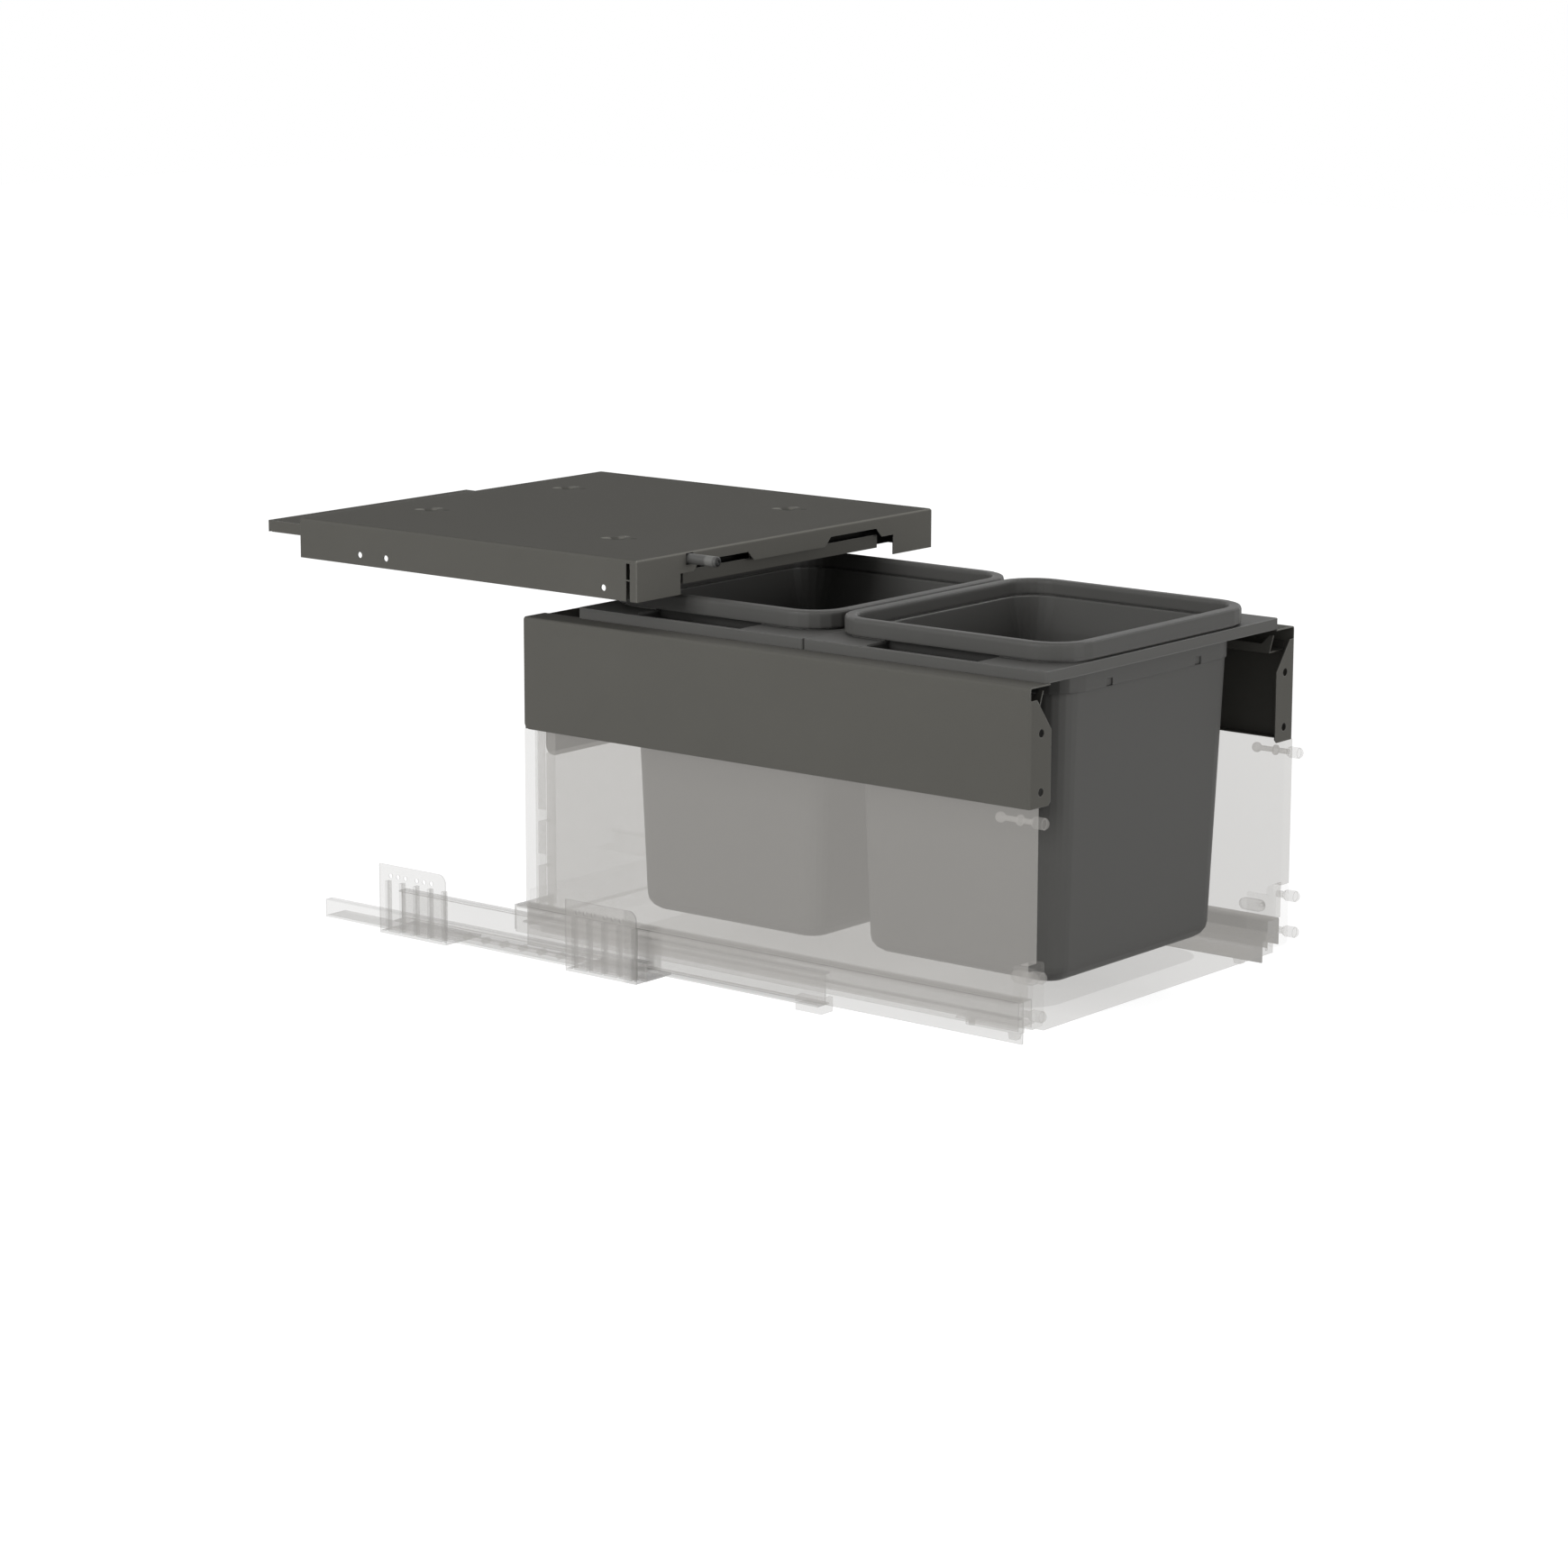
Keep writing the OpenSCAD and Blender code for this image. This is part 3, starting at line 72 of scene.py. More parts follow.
# Shader nodes
class Shader:
    """A node tree, with short calls to add and join its nodes and to reckon with their values."""

    def __init__(self, tree):
        self.tree = tree
        self.tree.nodes.clear()

    def node(self, kind, **values):
        """Adds a node; a value sets an attribute, or an input when its name is one."""
        made = self.tree.nodes.new(kind)
        for name, value in values.items():
            if hasattr(made, name):
                setattr(made, name, value)
            else:
                made.inputs[name.replace("_", " ")].default_value = value
        return made

    def join(self, value, socket):
        """Links an output to a socket, or sets a plain number on it."""
        if isinstance(value, (int, float)):
            socket.default_value = value
        else:
            self.tree.links.new(value, socket)

    def reckon(self, operation, *values):
        """One arithmetic step on outputs and plain numbers."""
        made = self.node("ShaderNodeMath", operation=operation)
        for value, socket in zip(values, made.inputs):
            self.join(value, socket)
        return made.outputs[0]

    def plus(self, first, *others):
        for other in others:
            first = self.reckon("ADD", first, other)
        return first

    def less(self, first, second):
        return self.reckon("SUBTRACT", first, second)

    def times(self, first, *others):
        for other in others:
            first = self.reckon("MULTIPLY", first, other)
        return first

    def unsigned(self, value):
        return self.reckon("ABSOLUTE", value)

    def weigh(self, masks, amounts):
        """The sum of some masks, each times its own amount."""
        return self.plus(*[self.times(mask, amount) for mask, amount in zip(masks, amounts)])

    def distance(self, a, b):
        """The square root of a squared plus b squared."""
        return self.reckon("SQRT", self.plus(self.times(a, a), self.times(b, b)))

    def ramp(self, value, start, end):
        """A smooth step from 0 at start to 1 at end."""
        made = self.node("ShaderNodeMapRange", interpolation_type="SMOOTHSTEP")
        made.inputs["From Min"].default_value = start
        made.inputs["From Max"].default_value = end
        self.join(value, made.inputs["Value"])
        return made.outputs[0]

    def parts(self, vector):
        """A vector's X, Y and Z, as outputs of those names."""
        split = self.node("ShaderNodeSeparateXYZ")
        self.join(vector, split.inputs[0])
        return split.outputs

    def place(self):
        """A point's Object coordinates, as a vector."""
        return self.node("ShaderNodeTexCoord").outputs["Object"]

    def axes(self):
        """The X, Y and Z of a point's Object coordinates."""
        return self.parts(self.place())

    def facing(self):
        """The X, Y and Z of a face's normal."""
        return self.parts(self.node("ShaderNodeNewGeometry").outputs["Normal"])

    def tinted(self, tone, factor):
        """A tone times a factor."""
        scaled = self.node("ShaderNodeVectorMath", operation="SCALE")
        self.join(tone, scaled.inputs[0])
        self.join(factor, scaled.inputs["Scale"])
        return scaled.outputs[0]


# Shared groups
COLOUR, VALUE, VECTOR = "NodeSocketColor", "NodeSocketFloat", "NodeSocketVector"
TONE_IN, TONE_OUT = ("Tone", COLOUR, (0.1, 0.1, 0.1, 1.0)), ("Tone", COLOUR)
ALPHA_IN, ALPHA_OUT = ("Alpha", VALUE, 0.2), ("Alpha", VALUE)
SURFACE_OUT = [TONE_OUT, ("Roughness", VALUE), ("Height", VALUE)]


def new_group(name, inputs, outputs):
    """An empty node group with sockets given as (name, kind, default)."""
    tree = bpy.data.node_groups.new(name, "ShaderNodeTree")
    for label, kind, default in inputs:
        socket = tree.interface.new_socket(name=label, in_out="INPUT", socket_type=kind)
        socket.default_value = default
    for label, kind in outputs:
        tree.interface.new_socket(name=label, in_out="OUTPUT", socket_type=kind)
    shader = Shader(tree)
    return tree, shader, shader.node("NodeGroupInput"), shader.node("NodeGroupOutput")


def give_surface(shader, given, out, swing, height):
    """The tone times one plus its spread times a swing, the roughness plus its own spread times
    the swing, and the height, joined to a group's outputs."""
    tone_factor = shader.plus(shader.times(swing, given.outputs["Spread"]), 1.0)
    rough = shader.plus(shader.times(swing, given.outputs["Rough Spread"]), given.outputs["Rough"])
    shader.join(shader.tinted(given.outputs["Tone"], tone_factor), out.inputs["Tone"])
    shader.join(rough, out.inputs["Roughness"])
    shader.join(height, out.inputs["Height"])


def give_tone(shader, given, out, change):
    """The tone times one plus a change, joined to a group's output."""
    shader.join(shader.tinted(given.outputs["Tone"], shader.plus(change, 1.0)), out.inputs["Tone"])


# Grain and drawn marks
NOISE_MIDDLE = 0.5
FINE_NOISE = {"Detail": 3.0, "Roughness": 0.6}
CLOUD_NOISE = {"Scale": 14.0, "Detail": 4.0, "Roughness": 0.55}
MARKS_STRETCH = (900.0, 9.0, 900.0)


def grain_group():
    """Fine moulded or sprayed grain: the sum of a fine noise and a broad one, less both their
    middles, swings the tone and the roughness, and the fine one is the height."""
    tree, shader, given, out = new_group(
        "surface_grain",
        [TONE_IN, ("Spread", VALUE, 0.1), ("Scale", VALUE, 900.0), ("Rough", VALUE, 0.6),
         ("Rough Spread", VALUE, 0.1)], SURFACE_OUT)
    fine = shader.node("ShaderNodeTexNoise", **FINE_NOISE)
    cloud = shader.node("ShaderNodeTexNoise", **CLOUD_NOISE)
    shader.join(given.outputs["Scale"], fine.inputs["Scale"])
    for noise in (fine, cloud):
        shader.join(shader.place(), noise.inputs["Vector"])
    swing = shader.less(shader.plus(fine.outputs["Fac"], cloud.outputs["Fac"]), 2 * NOISE_MIDDLE)
    give_surface(shader, given, out, swing, fine.outputs["Fac"])
    return tree


def brushed_group():
    """Drawn metal: a noise stretched along Y, less its middle, swings the tone and the
    roughness, so the marks run with the rolling of the strip."""
    tree, shader, given, out = new_group(
        "drawn_marks",
        [TONE_IN, ("Spread", VALUE, 0.1), ("Rough", VALUE, 0.4), ("Rough Spread", VALUE, 0.1)],
        SURFACE_OUT)
    stretch = shader.node("ShaderNodeMapping", Scale=MARKS_STRETCH)
    marks = shader.node("ShaderNodeTexNoise", Scale=1.0, **FINE_NOISE)
    shader.join(shader.place(), stretch.inputs["Vector"])
    shader.join(stretch.outputs[0], marks.inputs["Vector"])
    swing = shader.less(marks.outputs["Fac"], NOISE_MIDDLE)
    give_surface(shader, given, out, swing, marks.outputs["Fac"])
    return tree


# Rubbed edges with painted highlights
BEVEL_SAMPLES = 6
FLAT_MATCH, ROUND_MATCH = 0.998, 0.80
BEND_START, BEND_FULL = 0.12, 0.42
EDGE_RISE = 2 * MM
WORN_SMOOTHER = 0.5


def rubbed_and_highlit_group():
    """Rubbed edges: where the rounded normal leaves the face's own, the finish is glossier above a
    height, and paler there as a painted highlight, in step with one minus their dot product; the
    painted highlight is stronger on the bends between a front and a top, by the product of the
    normal's parts towards them."""
    tree, shader, given, out = new_group(
        "rubbed_edges_and_highlights",
        [TONE_IN, ("Rough", VALUE, 0.6), ("Radius", VALUE, 0.001), ("Lift", VALUE, 0.4),
         ("Front Lift", VALUE, 0.8), ("Front From", VALUE, -1.0), ("Gloss", VALUE, 0.5)],
        [TONE_OUT, ("Roughness", VALUE), ("Coat", VALUE), ("Normal", VECTOR)])
    rounded = shader.node("ShaderNodeBevel", samples=BEVEL_SAMPLES)
    face = shader.node("ShaderNodeNewGeometry")
    match = shader.node("ShaderNodeVectorMath", operation="DOT_PRODUCT")
    shader.join(given.outputs["Radius"], rounded.inputs["Radius"])
    shader.join(rounded.outputs[0], match.inputs[0])
    shader.join(face.outputs["Normal"], match.inputs[1])
    edge = shader.ramp(match.outputs["Value"], FLAT_MATCH, ROUND_MATCH)
    above = shader.less(shader.axes()["Z"], given.outputs["Front From"])
    wear_and_highlight = shader.times(edge, shader.ramp(above, 0.0, EDGE_RISE))
    normal = shader.parts(rounded.outputs[0])
    bend = shader.times(normal["Y"], -1.0, normal["Z"])
    front = shader.times(shader.ramp(bend, BEND_START, BEND_FULL), given.outputs["Front Lift"])
    # The paler tone on rubbed edges is a painted highlight, strongest on the front-and-top bends
    painted_highlight = shader.times(wear_and_highlight, shader.plus(front, given.outputs["Lift"]))
    smoother = shader.plus(shader.times(wear_and_highlight, -WORN_SMOOTHER), 1.0)
    give_tone(shader, given, out, painted_highlight)
    shader.join(shader.times(smoother, given.outputs["Rough"]), out.inputs["Roughness"])
    shader.join(shader.times(wear_and_highlight, given.outputs["Gloss"]), out.inputs["Coat"])
    shader.join(rounded.outputs[0], out.inputs["Normal"])
    return tree


# The lid
LID_LOW, LID_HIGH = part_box("lid_tray")
LID_BEND_Y = (LID_LOW[1] + 2.6 * MM, LID_LOW[1] + 1.2 * MM)
LID_BEND_Z = (LID_HIGH[2] - 2.0 * MM, LID_HIGH[2] - 0.9 * MM)
LID_FLANGE_Y = (LID_LOW[1] + 1.6 * MM, LID_LOW[1] + 1.1 * MM)
LID_ROOF_FACING = (0.6, 0.95)
# How the tone changes: a painted highlight on the front bend, painted light on the front flange and
# painted shade on the roof
LID_CHANGES = (0.60, 0.29, -0.12)
DIMPLE_RADIUS = 8 * MM
# A dimple's middle: its distance from the lid's middle line, and its place along Y
DIMPLES = ((118.5 * MM, LID_LOW[1] + 99 * MM), (94 * MM, LID_HIGH[1] - 54 * MM))
# The cosine and sine of the angle that turns X and Y into across and along
ACROSS_COSINE, ACROSS_SINE = 0.61, 0.79
# Painted spots of light and shade: (across, along) and the radius, in dimple radii, and the amount
DIMPLE_SPOTS = (((-1.15, 0.2), 0.62, 1.1), ((0.75, 1.1), 0.70, 0.60),
                ((0.1, -0.5), 0.85, -0.55), ((1.9, -0.4), 0.40, -0.25))
SPOT_RIM, SPOT_CORE = 1.2, 0.6


def spot_mask(shader, across, along, middle, radius):
    """A round spot in a plane, by the distance from its middle: 1 in its core, 0 past its rim."""
    away = shader.distance(shader.less(across, middle[0]), shader.less(along, middle[1]))
    return shader.ramp(away, radius * SPOT_RIM, radius * SPOT_CORE)


def lid_group():
    """Painted light and shade on the lid: a painted highlight on its front bend, painted light on
    its front flange, painted shade on its roof, by the normal's part along Z, and painted light
    and shade in its dimples: spots fixed on the lid round each dimple's middle, placed across and
    along, which are X and Y turned by one angle."""
    tree, shader, given, out = new_group("lid_shade", [TONE_IN], [TONE_OUT])
    at = shader.axes()
    side = shader.reckon("SIGN", at["X"])
    bend = shader.times(shader.ramp(at["Y"], *LID_BEND_Y), shader.ramp(at["Z"], *LID_BEND_Z))
    flange = shader.ramp(at["Y"], *LID_FLANGE_Y)
    roof = shader.ramp(shader.facing()["Z"], *LID_ROOF_FACING)
    change = shader.weigh((bend, flange, roof), LID_CHANGES)
    for dimple_x, dimple_y in DIMPLES:
        away_x = shader.less(at["X"], shader.times(side, dimple_x))
        away_y = shader.less(at["Y"], dimple_y)
        across = shader.weigh((away_x, away_y), (ACROSS_COSINE, -ACROSS_SINE))
        along = shader.weigh((away_x, away_y), (ACROSS_SINE, ACROSS_COSINE))
        for middle, radius, amount in DIMPLE_SPOTS:
            spot = spot_mask(shader, across, along, [share * DIMPLE_RADIUS for share in middle],
                             radius * DIMPLE_RADIUS)
            change = shader.plus(change, shader.times(spot, amount))
    give_tone(shader, given, out, change)
    return tree


# The channel across the lid
CHANNEL_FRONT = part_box("lid_cross_strip")[0][1]
CHANNEL_Y = (CHANNEL_FRONT, CHANNEL_FRONT + 3 * MM)
CHANNEL_SHADE = -0.90


def channel_group():
    """Shade inside the channel under the lid: deeper behind its front face."""
    tree, shader, given, out = new_group("channel_shade", [TONE_IN], [TONE_OUT])
    inside = shader.ramp(shader.axes()["Y"], *CHANNEL_Y)
    give_tone(shader, given, out, shader.times(inside, CHANNEL_SHADE))
    return tree


# The bins' frames and their finger slots
FRAME_LOW, FRAME_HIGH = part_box("front_bin_frame")[0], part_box("rear_bin_frame")[1]
FRAME_TOP = FRAME_LOW[2] + 9.6 * MM
SLOT_X = (FRAME_HIGH[0] - 3.5 * MM, FRAME_HIGH[0] - 5.5 * MM)
SLOT_Y = (FRAME_LOW[1] + 3 * MM, FRAME_LOW[1] + 6 * MM)
SLOT_Z = (FRAME_TOP - 1 * MM, FRAME_TOP - 3 * MM)
SLOT_SHADE = -0.67


def slot_group():
    """Shade in the frames' finger slots: below their top and inside their outer walls."""
    tree, shader, given, out = new_group("slot_shade", [TONE_IN], [TONE_OUT])
    at = shader.axes()
    inside = shader.ramp(shader.unsigned(at["X"]), *SLOT_X)
    below = shader.ramp(at["Z"], *SLOT_Z)
    behind = shader.ramp(at["Y"], *SLOT_Y)
    give_tone(shader, given, out, shader.times(inside, below, behind, SLOT_SHADE))
    return tree


# The bins
BIN_LOW, BIN_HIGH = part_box("front_bin")[0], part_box("rear_bin")[1]
BIN_LEFT_FACING = (-0.3, -0.8)
BIN_LEFT_X = (BIN_LOW[0] + 30 * MM, BIN_LOW[0] + 20 * MM)
BIN_BAND_TOP = (FRAME_TOP + 0.4 * MM, FRAME_TOP - 0.8 * MM)
BIN_BAND_FOOT = (FRAME_TOP - 34 * MM, FRAME_TOP - 24 * MM)
BIN_SHADE = -0.60


def bin_group():
    """Shade on a bin's left side where the frame's finger slot looks down on it: a band of
    heights under the frame's top, on the faces turned to the left."""
    tree, shader, given, out = new_group("bin_shade", [TONE_IN], [TONE_OUT])
    at = shader.axes()
    left = shader.ramp(shader.facing()["X"], *BIN_LEFT_FACING)
    band = shader.times(shader.ramp(at["Z"], *BIN_BAND_TOP), shader.ramp(at["Z"], *BIN_BAND_FOOT))
    outer = shader.ramp(at["X"], *BIN_LEFT_X)
    give_tone(shader, given, out, shader.times(left, band, outer, BIN_SHADE))
    return tree


# The damper's plunger
PLUNGER_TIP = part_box("damper_plunger")[0][1]
HOLLOW_Y = (PLUNGER_TIP + 1.1 * MM, PLUNGER_TIP + 0.5 * MM)
COLLAR_FRONT = (PLUNGER_TIP + 3 * MM, PLUNGER_TIP + 5 * MM)
COLLAR_REAR = (PLUNGER_TIP + 14 * MM, PLUNGER_TIP + 11 * MM)
# How the tone changes: painted shade in the hollow and a painted highlight on the collar
PLUNGER_CHANGES = (-0.75, 0.9)


def plunger_group():
    """Painted highlight on the plunger's collar behind its tip, and painted shade in the hollow in
    the tip.
    """
    tree, shader, given, out = new_group("plunger_shade", [TONE_IN], [TONE_OUT])
    y = shader.axes()["Y"]
    hollow = shader.ramp(y, *HOLLOW_Y)
    collar = shader.times(shader.ramp(y, *COLLAR_FRONT), shader.ramp(y, *COLLAR_REAR))
    give_tone(shader, given, out, shader.weigh((hollow, collar), PLUNGER_CHANGES))
    return tree


# The see-through infills
INFILL_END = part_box("infill_side_left")[1][1]
INFILL_STRIP = (INFILL_END - 17 * MM, INFILL_END - 15.5 * MM)
STRIP_DENSITY = -0.36


def infill_group():
    """The infills' rear edge strip, which is clearer than the board."""
    tree, shader, given, out = new_group("infill_end", [TONE_IN, ALPHA_IN], [TONE_OUT, ALPHA_OUT])
    strip = shader.ramp(shader.axes()["Y"], *INFILL_STRIP)
    clearer = shader.plus(shader.times(strip, STRIP_DENSITY), 1.0)
    shader.join(given.outputs["Tone"], out.inputs["Tone"])
    shader.join(shader.times(given.outputs["Alpha"], clearer), out.inputs["Alpha"])
    return tree


# Folded sheet seen through
STOP_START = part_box("wall_bracket_front_left")[0][1] + 13.5 * MM
STOP_END = STOP_START - 18 * MM
STOP_REAR_Y = (STOP_START + MM, STOP_START)
STOP_FRONT_Y = (STOP_END, STOP_END + MM)
FOLD_FACING = (0.5, 0.9)
# How the tone and the density change on level faces and on end faces, where the darker tone is
# painted shade, and at the stop
FOLD_TONES = (-0.38, -0.35, -0.3)
FOLD_DENSITIES = (0.45, 0.6, 0.7)


def folded_group():
    """Folded sheet seen through: its level and end faces are darker than its walls, a painted
    shade, and denser, in step with the normal's part along Z and along Y; the rails and the
    profile are darker and denser too where the rails' stop lies, at the front edge of the wall
    bracket."""
    tree, shader, given, out = new_group(
        "folded_shade", [TONE_IN, ALPHA_IN, ("Stop", VALUE, 0.0)], [TONE_OUT, ALPHA_OUT])
    normal = shader.facing()
    level = shader.ramp(shader.unsigned(normal["Z"]), *FOLD_FACING)
    end = shader.ramp(shader.unsigned(normal["Y"]), *FOLD_FACING)
    y = shader.axes()["Y"]
    stretch = shader.times(shader.ramp(y, *STOP_FRONT_Y), shader.ramp(y, *STOP_REAR_Y))
    masks = (level, end, shader.times(stretch, given.outputs["Stop"]))
    denser = shader.plus(shader.weigh(masks, FOLD_DENSITIES), 1.0)
    give_tone(shader, given, out, shader.weigh(masks, FOLD_TONES))
    shader.join(shader.times(given.outputs["Alpha"], denser), out.inputs["Alpha"])
    return tree


# The bins' shade on the base board
SHADE_X = (BIN_LOW[0] + 16 * MM, BIN_HIGH[0] - 10 * MM)
SHADE_Y = (BIN_LOW[1] + 36 * MM, BIN_HIGH[1] - 8 * MM)
SHADE_ROUND = 34 * MM
SHADE_EDGE = (SHADE_ROUND + 1.5 * MM, SHADE_ROUND - 1.5 * MM)
SHADE_Z = (32 * MM, 24 * MM)
FOOTPRINT_SHADE, FOOTPRINT_DENSITY = -0.12, 0.17


def footprint_group():
    """The bins' shade on the base: a rounded rectangle, by the distance outside its inner one."""
    tree, shader, given, out = new_group(
        "footprint_shade", [TONE_IN, ALPHA_IN], [TONE_OUT, ALPHA_OUT])
    at = shader.axes()
    outside = []
    for value, (low, high) in ((at["X"], SHADE_X), (at["Y"], SHADE_Y)):
        from_middle = shader.unsigned(shader.less(value, (low + high) / 2))
        past_inner = shader.less(from_middle, (high - low) / 2 - SHADE_ROUND)
        outside.append(shader.reckon("MAXIMUM", past_inner, 0.0))
    edge = shader.ramp(shader.distance(*outside), *SHADE_EDGE)
    shade = shader.times(edge, shader.ramp(at["Z"], *SHADE_Z))
    denser = shader.plus(shader.times(shade, FOOTPRINT_DENSITY), given.outputs["Alpha"])
    give_tone(shader, given, out, shader.times(shade, FOOTPRINT_SHADE))
    shader.join(denser, out.inputs["Alpha"])
    return tree


GRAIN = grain_group()
BRUSHED = brushed_group()
RUBBED_AND_HIGHLIT = rubbed_and_highlit_group()
DIMPLED = lid_group()
CHANNELLED = channel_group()
SLOTTED = slot_group()
BINNED = bin_group()
PLUNGED = plunger_group()
INFILLED = infill_group()
FOLDED = folded_group()
FOOTPRINT = footprint_group()

# Finishes
COAT_TONE = (0.118, 0.115, 0.104)
BIN_TONE = (0.084, 0.083, 0.079)
FRAME_TONE = (0.104, 0.103, 0.098)
PLUNGER_TONE = (0.088, 0.088, 0.084)
# A darker copy of the see-through tone, painted shade on the low profile and the right drawer rail
PROFILE_TONE = (0.076, 0.074, 0.070)
GHOST_TONE = (0.100, 0.097, 0.092)
ROUGH_SPREAD = 0.1
BUMP_DEPTH = 0.05 * MM
WORN_COAT_ROUGHNESS = 0.25
ANY_HEIGHT = -1.0


def finish_material(name, tone, rough, spread, bump, specular, scale=None, alpha=1.0, glow=0.0,
                    edge=0.0, lift=0.1, front=0.0, front_from=ANY_HEIGHT, gloss=0.0, shade=None,
                    stop=0.0):
    """A Principled surface whose colour, roughness and bump come from shared groups.

    scale is the fineness of its grain, and drawn metal has none; edge is the radius over which
    its edges are rubbed and given a painted highlight, and lift, front, front_from and gloss say
    how: lift and front how much paler the painted highlight makes all edges and the bends between
    a front and a top, front_from the height above which edges are rubbed and painted, and gloss how
    glossy the edges are. glow is the share of its own tone that a see-through piece gives out, a
    painted light, so that it shows whatever falls on it; shade is a group that changes it in
    places, in most of them with painted light and shade, and stop how much of the rails' stop
    shows.
    """
    made = bpy.data.materials.new(name)
    made.use_nodes = True
    shader = Shader(made.node_tree)
    out = shader.node("ShaderNodeOutputMaterial")
    body = shader.node("ShaderNodeBsdfPrincipled", Specular_IOR_Level=specular, Alpha=alpha)
    detail = shader.node("ShaderNodeGroup", node_tree=GRAIN if scale else BRUSHED, Spread=spread,
                         Tone=(*tone, 1.0), Rough=rough, Rough_Spread=ROUGH_SPREAD)
    relief = shader.node("ShaderNodeBump", Strength=bump, Distance=BUMP_DEPTH)
    if scale:
        detail.inputs["Scale"].default_value = scale
    seen, roughness = detail.outputs["Tone"], detail.outputs["Roughness"]
    if shade:
        shaded = shader.node("ShaderNodeGroup", node_tree=shade)
        shader.join(seen, shaded.inputs["Tone"])
        seen = shaded.outputs["Tone"]
        if "Alpha" in shaded.outputs:
            shaded.inputs["Alpha"].default_value = alpha
            shader.join(shaded.outputs["Alpha"], body.inputs["Alpha"])
        if "Stop" in shaded.inputs:
            shaded.inputs["Stop"].default_value = stop
    # Rubbed edges: glossier, and paler as a painted highlight
    if edge:
        worn_and_highlit = shader.node("ShaderNodeGroup", node_tree=RUBBED_AND_HIGHLIT, Radius=edge, Lift=lift,
                           Front_Lift=front, Front_From=front_from, Gloss=gloss)
        body.inputs["Coat Roughness"].default_value = WORN_COAT_ROUGHNESS
        shader.join(seen, worn_and_highlit.inputs["Tone"])
        shader.join(roughness, worn_and_highlit.inputs["Rough"])
        shader.join(worn_and_highlit.outputs["Coat"], body.inputs["Coat Weight"])
        shader.join(worn_and_highlit.outputs["Normal"], relief.inputs["Normal"])
        seen, roughness = worn_and_highlit.outputs["Tone"], worn_and_highlit.outputs["Roughness"]
    # The glow: a see-through piece gives out its own tone, a painted light that looks evenly lit
    if glow:
        body.inputs["Emission Strength"].default_value = glow
        shader.join(seen, body.inputs["Emission Color"])
    shader.join(seen, body.inputs["Base Color"])
    shader.join(roughness, body.inputs["Roughness"])
    shader.join(detail.outputs["Height"], relief.inputs["Height"])
    shader.join(relief.outputs["Normal"], body.inputs["Normal"])
    shader.join(body.outputs[0], out.inputs["Surface"])
    return made


def powder_coat(name, **values):
    """Matt, finely grained coat on dark sheet steel."""
    return finish_material(name, COAT_TONE, rough=0.70, spread=0.10, bump=0.25, scale=1400.0,
                           **values)


def moulding(name, tone, **values):
    """Dark moulded plastic with a fine grain."""
    return finish_material(name, tone, scale=2200.0, **values)


DARK_COAT = powder_coat("dark_powder_coat", specular=0.06, edge=1.2 * MM, lift=0.15, front=0.7,
                        gloss=0.8)
LID_COAT = powder_coat("lid_powder_coat", specular=0.025, edge=1.0 * MM, front=0.6, gloss=0.8,
                       shade=DIMPLED)
CHANNEL_COAT = powder_coat("channel_powder_coat", specular=0.04, edge=0.9 * MM, front=0.8,
                           gloss=0.4, shade=CHANNELLED)
BIN_PLASTIC = moulding("dark_moulded_plastic", BIN_TONE, rough=0.50, spread=0.10, bump=0.2,
                       specular=0.18, edge=2.8 * MM, front=2.2, front_from=FRAME_TOP, gloss=0.9,
                       shade=BINNED)
FRAME_PLASTIC = moulding("frame_moulded_plastic", FRAME_TONE, rough=0.55, spread=0.10, bump=0.2,
                         specular=0.16, edge=1.4 * MM, front=0.6, gloss=0.8, shade=SLOTTED)
PLUNGER_GREY = moulding("plunger_plastic", PLUNGER_TONE, rough=0.45, spread=0.06, bump=0.1,
                        specular=0.30, edge=0.9 * MM, lift=0.3, front=0.4, gloss=1.0,
                        shade=PLUNGED)


def pale_finish(name, alpha, tone=GHOST_TONE, rough=0.5, spread=0.03, specular=0.05, glow=3.2,
                **values):
    """A see-through finish, as even as the photograph draws it: it glows with its own tone, a
    painted light.
    """
    return finish_material(name, tone, rough, spread, bump=0.05, specular=specular, alpha=alpha,
                           glow=glow, **values)


def pale_board(name, alpha, **values):
    """See-through board, and the posts that look like it."""
    return pale_finish(name, alpha, rough=0.6, scale=300.0, **values)


def pale_sheet(name, alpha, **values):
    """See-through coated sheet steel."""
    return pale_finish(name, alpha, scale=1400.0, stop=0.6, **values)


def pale_runner(name, alpha, specular=0.10, glow=3.0, shade=FOLDED):
    """See-through drawn steel of the runners."""
    return pale_finish(name, alpha, rough=0.45, spread=0.08, specular=specular, glow=glow,
                       shade=shade, stop=1.0)


def pale_moulding(name, alpha, **values):
    """See-through plastic of the small mouldings and rollers."""
    return pale_finish(name, alpha, scale=2200.0, **values)


INFILL_BOARD = pale_board("pale_board", alpha=0.343, glow=3.5, shade=INFILLED)
BASE_BOARD = pale_board("pale_base_board", alpha=0.287, shade=FOOTPRINT)
BACK_BOARD = pale_board("pale_back_board", alpha=0.305)
POST_BOARD = pale_board("pale_post_profile", alpha=0.20)
FAINT_BOARD = pale_board("faint_back_board", alpha=0.05, glow=4.0)
COATED_STEEL = pale_sheet("pale_coated_steel", alpha=0.195, shade=FOLDED)
WALL_STEEL = pale_sheet("pale_wall_bracket", alpha=0.185, shade=FOLDED)
FRONT_STEEL = pale_sheet("pale_front_bracket", alpha=0.08, glow=3.4)
DRAWER_STEEL = pale_sheet("low_profile_steel", alpha=0.66, tone=PROFILE_TONE)
RUNNER_STEEL = pale_runner("runner_steel", alpha=0.17)
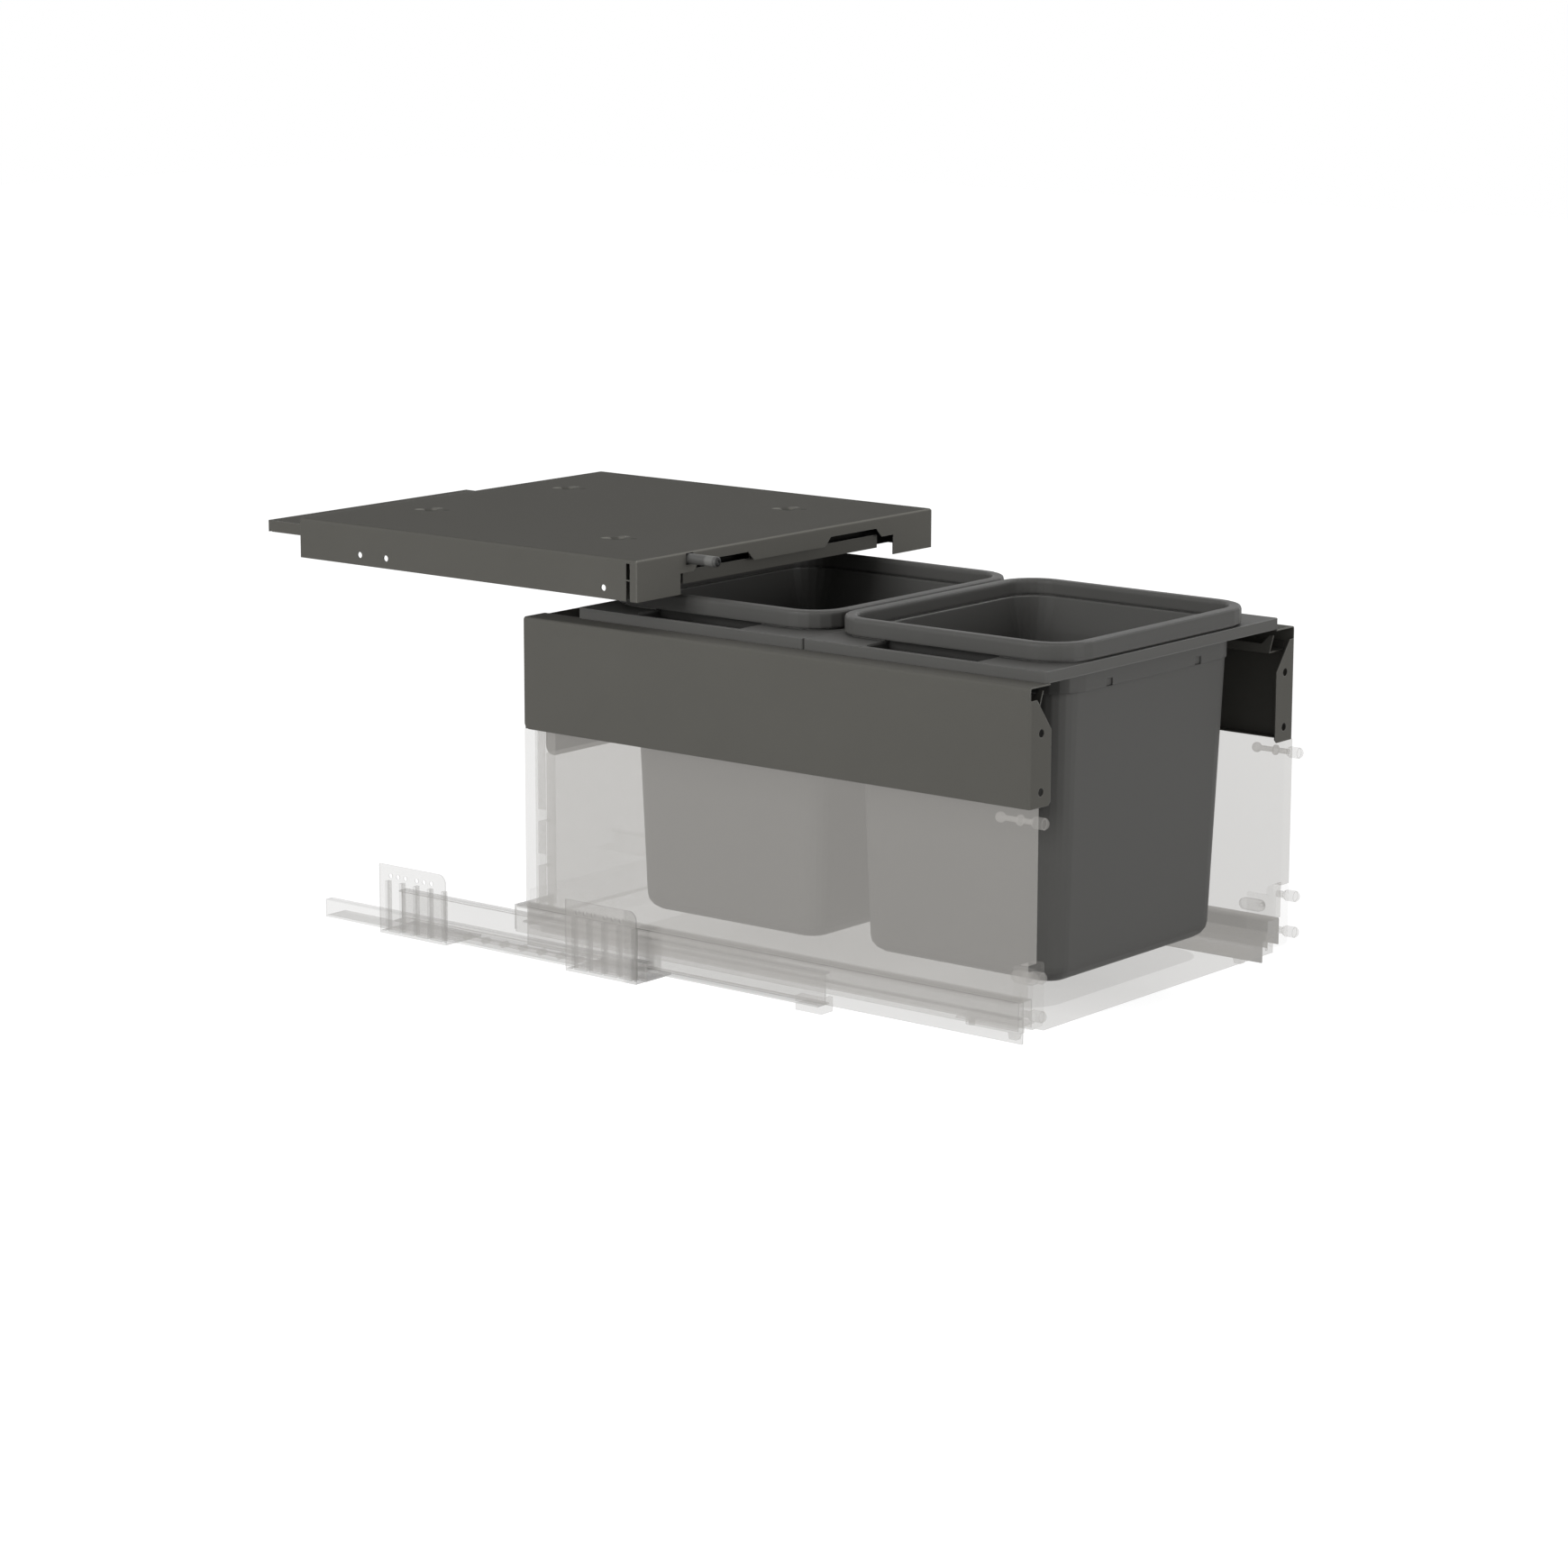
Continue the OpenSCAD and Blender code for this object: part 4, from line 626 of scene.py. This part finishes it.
INNER_STEEL = pale_runner("drawer_runner_steel", alpha=0.24)
MIDDLE_STEEL = pale_runner("middle_runner_steel", alpha=0.23)
FAR_STEEL = pale_runner("far_runner_steel", alpha=0.05, specular=0.05, glow=4.0, shade=None)
PALE_PLASTIC = pale_moulding("pale_plastic", alpha=0.22, specular=0.10)
FAR_PLASTIC = pale_moulding("far_runner_plastic", alpha=0.07, glow=4.0)

FINISH_OF_SLOT = {
    "dark_steel": DARK_COAT,
    "dark_plastic": BIN_PLASTIC,
    "plunger_grey": PLUNGER_GREY,
    "pale_board": INFILL_BOARD,
    "pale_steel": COATED_STEEL,
    "pale_plastic": PALE_PLASTIC,
    "runner_steel": RUNNER_STEEL,
}
FINISH_OF_NODE = {
    "lid_tray": LID_COAT,
    "lid_rear_plate": LID_COAT,
    "lid_cross_strip": CHANNEL_COAT,
    "front_bin_frame": FRAME_PLASTIC,
    "rear_bin_frame": FRAME_PLASTIC,
    "base_panel": BASE_BOARD,
    "infill_back": BACK_BOARD,
    "low_back_board": FAINT_BOARD,
    "rear_post_left": POST_BOARD,
    "rear_post_right": FAINT_BOARD,
    "front_bracket_left": FRONT_STEEL,
    "front_bracket_right": FRONT_STEEL,
    "drawer_rail_left": INNER_STEEL,
    "intermediate_rail_left": MIDDLE_STEEL,
    "wall_bracket_front_left": WALL_STEEL,
    "wall_bracket_rear_left": WALL_STEEL,
    "side_profile_right": DRAWER_STEEL,
    "drawer_rail_right": DRAWER_STEEL,
    "cabinet_rail_right": FAR_STEEL,
    "intermediate_rail_right": FAR_STEEL,
    "lower_cage_right": FAR_STEEL,
    "upper_cage_right": FAR_STEEL,
    "lower_rollers_right": FAR_PLASTIC,
    "upper_rollers_right": FAR_PLASTIC,
    "wall_bracket_front_right": FAR_STEEL,
    "wall_bracket_rear_right": FAR_STEEL,
}
DARK_SLOTS = ("dark_steel", "dark_plastic", "plunger_grey")
STACKED_LAYERS = 64


def dress_frame():
    """Gives every node of the frame its own finish, or else the finish of its slot.

    Light goes straight through the see-through pieces, so the ones behind stay as evenly lit.
    """
    for part in frame["record"]["subparts"]:
        name, slot = part["node"], part["material_slot"]
        mesh = NODES[name].data
        mesh.materials.clear()
        mesh.materials.append(FINISH_OF_NODE.get(name, FINISH_OF_SLOT[slot]))
        if slot not in DARK_SLOTS:
            NODES[name].visible_shadow = False
            NODES[name].visible_diffuse = False
    bpy.context.scene.cycles.transparent_max_bounces = STACKED_LAYERS


# Studio
WHITE = (1.0, 1.0, 1.0, 1.0)
ROOM_SEEN, ROOM_LIGHT = 1.0, 0.35
FLOOR_SEEN, FLOOR_LIGHT = 0.87, 0.0
FLOOR_PAPER = (0.42, 0.42, 0.42, 1.0)
FLOOR_HALF, FLOOR_DROP = 8.0, -0.4 * MM
LAMP_AIM = Vector((0.0, 0.0, 0.2))
# Each softbox: its name, its place, its width and its watts
SOFTBOXES = (("left_softbox", (-3.3, 0.4, 1.5), 1.5, 70),
             ("front_softbox", (0.2, -3.4, 0.4), 1.4, 46),
             ("right_softbox", (2.7, 0.0, 2.3), 0.9, 13))


def backdrop_strength(shader, seen, lit):
    """One value for what the lens sees, straight or in a gloss or a glass, and one for the rest."""
    ray = shader.node("ShaderNodeLightPath").outputs
    straight = shader.reckon("MAXIMUM", ray["Is Camera Ray"], ray["Is Glossy Ray"])
    shown = shader.reckon("MAXIMUM", straight, ray["Is Transmission Ray"])
    mix = shader.node("ShaderNodeMix", data_type="FLOAT", A=lit, B=seen)
    shader.join(shown, mix.inputs["Factor"])
    return mix.outputs["Result"]


def make_world():
    """A plain white room: one strength where it is seen, and its own level as light."""
    world = bpy.data.worlds.new("white_room")
    bpy.context.scene.world = world
    world.use_nodes = True
    shader = Shader(world.node_tree)
    out = shader.node("ShaderNodeOutputWorld")
    glow = shader.node("ShaderNodeBackground", Color=WHITE)
    shader.join(backdrop_strength(shader, ROOM_SEEN, ROOM_LIGHT), glow.inputs["Strength"])
    shader.join(glow.outputs[0], out.inputs["Surface"])


def make_floor():
    """A pale floor that keeps the shadow and reads as white where the lens sees it lit."""
    corners = [(x * FLOOR_HALF, y * FLOOR_HALF, FLOOR_DROP)
               for x, y in ((-1, -1), (1, -1), (1, 1), (-1, 1))]
    mesh = bpy.data.meshes.new("studio_floor")
    mesh.from_pydata(corners, [], [(0, 1, 2, 3)])
    floor = bpy.data.objects.new("studio_floor", mesh)
    bpy.context.scene.collection.objects.link(floor)
    made = bpy.data.materials.new("floor_paper")
    made.use_nodes = True
    shader = Shader(made.node_tree)
    out = shader.node("ShaderNodeOutputMaterial")
    paper = shader.node("ShaderNodeBsdfDiffuse", Color=FLOOR_PAPER)
    glow = shader.node("ShaderNodeEmission", Color=WHITE)
    shader.join(backdrop_strength(shader, FLOOR_SEEN, FLOOR_LIGHT), glow.inputs["Strength"])
    both = shader.node("ShaderNodeAddShader")
    shader.join(paper.outputs[0], both.inputs[0])
    shader.join(glow.outputs[0], both.inputs[1])
    shader.join(both.outputs[0], out.inputs["Surface"])
    mesh.materials.append(made)


def soft_lamp(name, place, size, watts):
    """A square softbox at a place, turned to face the lamps' aim."""
    lamp = bpy.data.lights.new(name, "AREA")
    lamp.shape = "SQUARE"
    lamp.size = size
    lamp.energy = watts
    made = bpy.data.objects.new(name, lamp)
    bpy.context.scene.collection.objects.link(made)
    made.location = place
    made.rotation_mode = "QUATERNION"
    made.rotation_quaternion = (LAMP_AIM - Vector(place)).to_track_quat("-Z", "Y")


def light_studio():
    """Low soft light from the left and the front and a little from the right, in an even room."""
    make_world()
    for softbox in SOFTBOXES:
        soft_lamp(*softbox)


dress_frame()
make_camera()
light_studio()
make_floor()
bpy.context.scene.view_settings.view_transform = "Standard"
